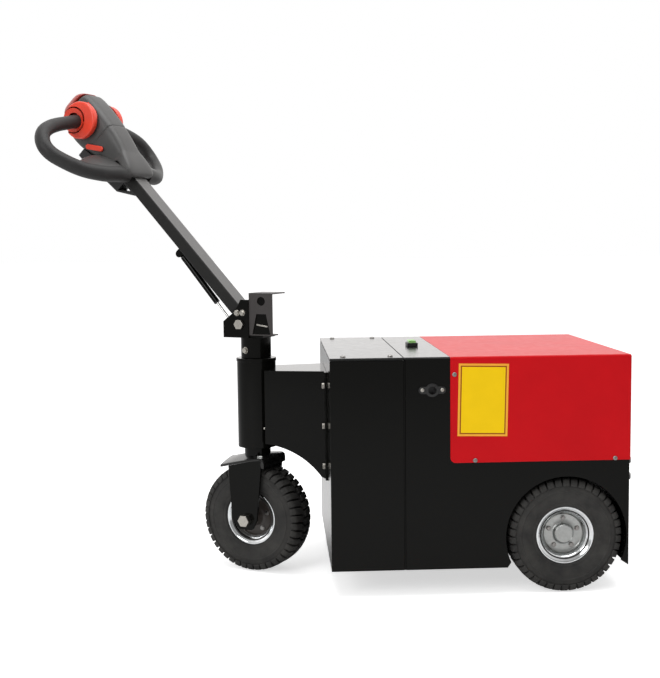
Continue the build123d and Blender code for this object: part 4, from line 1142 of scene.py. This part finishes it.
def camera():
    """Camera solved from the photograph, set out from the steering axis."""
    ahead = Vector((math.sin(CAMERA_YAW) * math.cos(CAMERA_PITCH),
                    math.cos(CAMERA_YAW) * math.cos(CAMERA_PITCH), -math.sin(CAMERA_PITCH)))
    level = Vector((math.cos(CAMERA_YAW), -math.sin(CAMERA_YAW), 0.0))
    down = ahead.cross(level)
    right = math.cos(CAMERA_ROLL) * level + math.sin(CAMERA_ROLL) * down
    up = math.sin(CAMERA_ROLL) * level - math.cos(CAMERA_ROLL) * down
    data = bpy.data.cameras.new("camera")
    data.sensor_width = SENSOR
    data.lens = FOCAL_PIXELS / IMAGE_HEIGHT * SENSOR
    view = bpy.data.objects.new("camera", data)
    place = Matrix((right, up, -ahead)).transposed().to_4x4()
    place.translation = STEERING_AXIS + CAMERA_FROM_AXIS
    view.matrix_world = place
    bpy.context.scene.collection.objects.link(view)
    bpy.context.scene.camera = view


def softbox(name, place, aim, size, power):
    """Rectangular area light at a place, turned to its aim."""
    data = bpy.data.lights.new(name, "AREA")
    data.shape = "RECTANGLE"
    data.size = size[0]
    data.size_y = size[1]
    data.energy = power
    lamp = bpy.data.objects.new(name, data)
    lamp.location = place
    lamp.rotation_euler = (Vector(aim) - Vector(place)).to_track_quat("-Z", "Y").to_euler()
    bpy.context.scene.collection.objects.link(lamp)


def pale_floor():
    """White floor that keeps a soft shadow and is plain white far from the tug."""
    corners = [(FLOOR_REACH * x, FLOOR_REACH * y, 0) for x, y in ((-1, -1), (1, -1), (1, 1), (-1, 1))]
    mesh = bpy.data.meshes.new("floor")
    mesh.from_pydata(corners, [], [(0, 1, 2, 3)])
    shade = Shade("floor_white")
    shade.set(Base_Color=(0.93, 0.93, 0.93, 1.0), Roughness=0.9, Specular_IOR_Level=0.1)
    shade.join(seen_rays(shade.tree, FLOOR_GLOW), shade.shader.inputs["Emission Strength"])
    shade.set(Emission_Color=WHITE)
    mesh.materials.append(shade.material)
    floor = new_object("floor", mesh)


def seen_rays(tree, strength):
    """Value that holds only for rays straight from the camera, not for lighting or mirroring."""
    path = tree.nodes.new("ShaderNodeLightPath")
    level = tree.nodes.new("ShaderNodeMath")
    level.operation = "MULTIPLY"
    level.inputs[1].default_value = strength
    tree.links.new(path.outputs["Is Camera Ray"], level.inputs[0])
    return level.outputs["Value"]


def studio():
    """White cyclorama behind, a dim room in front, seen in the enamel; soft light from above."""
    world = bpy.data.worlds.new("studio")
    bpy.context.scene.world = world
    world.use_nodes = True
    tree = world.node_tree
    make = tree.nodes.new
    join = tree.links.new
    light = tree.nodes["Background"]
    light.inputs["Color"].default_value = WHITE
    light.inputs["Strength"].default_value = WORLD_LIGHT
    mirrored = make("ShaderNodeBackground")
    mirrored.inputs["Color"].default_value = (1.0, 0.985, 0.975, 1.0)
    seen = make("ShaderNodeBackground")
    seen.inputs["Color"].default_value = WHITE
    seen.inputs["Strength"].default_value = 1.0
    coords = make("ShaderNodeTexCoord")
    axes = make("ShaderNodeSeparateXYZ")
    room = make("ShaderNodeMapRange")
    room.inputs["From Min"].default_value = -0.7
    room.inputs["From Max"].default_value = 0.3
    room.inputs["To Min"].default_value = ROOM_DIM
    room.inputs["To Max"].default_value = ROOM_BRIGHT
    path = make("ShaderNodeLightPath")
    glossy = make("ShaderNodeMixShader")
    choose = make("ShaderNodeMixShader")
    join(coords.outputs["Generated"], axes.inputs["Vector"])
    join(axes.outputs["Y"], room.inputs["Value"])
    join(room.outputs["Result"], mirrored.inputs["Strength"])
    join(path.outputs["Is Glossy Ray"], glossy.inputs["Fac"])
    join(light.outputs["Background"], glossy.inputs[1])
    join(mirrored.outputs["Background"], glossy.inputs[2])
    join(path.outputs["Is Camera Ray"], choose.inputs["Fac"])
    join(glossy.outputs["Shader"], choose.inputs[1])
    join(seen.outputs["Background"], choose.inputs[2])
    join(choose.outputs["Shader"], tree.nodes["World Output"].inputs["Surface"])
    softbox("overhead", (0.2, -0.4, 3.2), (0.1, 0.0, 0.4), (2.6, 2.0), 60.0)
    softbox("front_left", (-2.4, -3.0, 2.2), (0.0, 0.0, 0.5), (1.6, 1.6), 45.0)
    pale_floor()


studio()
camera()
bpy.context.scene.view_settings.view_transform = "Standard"
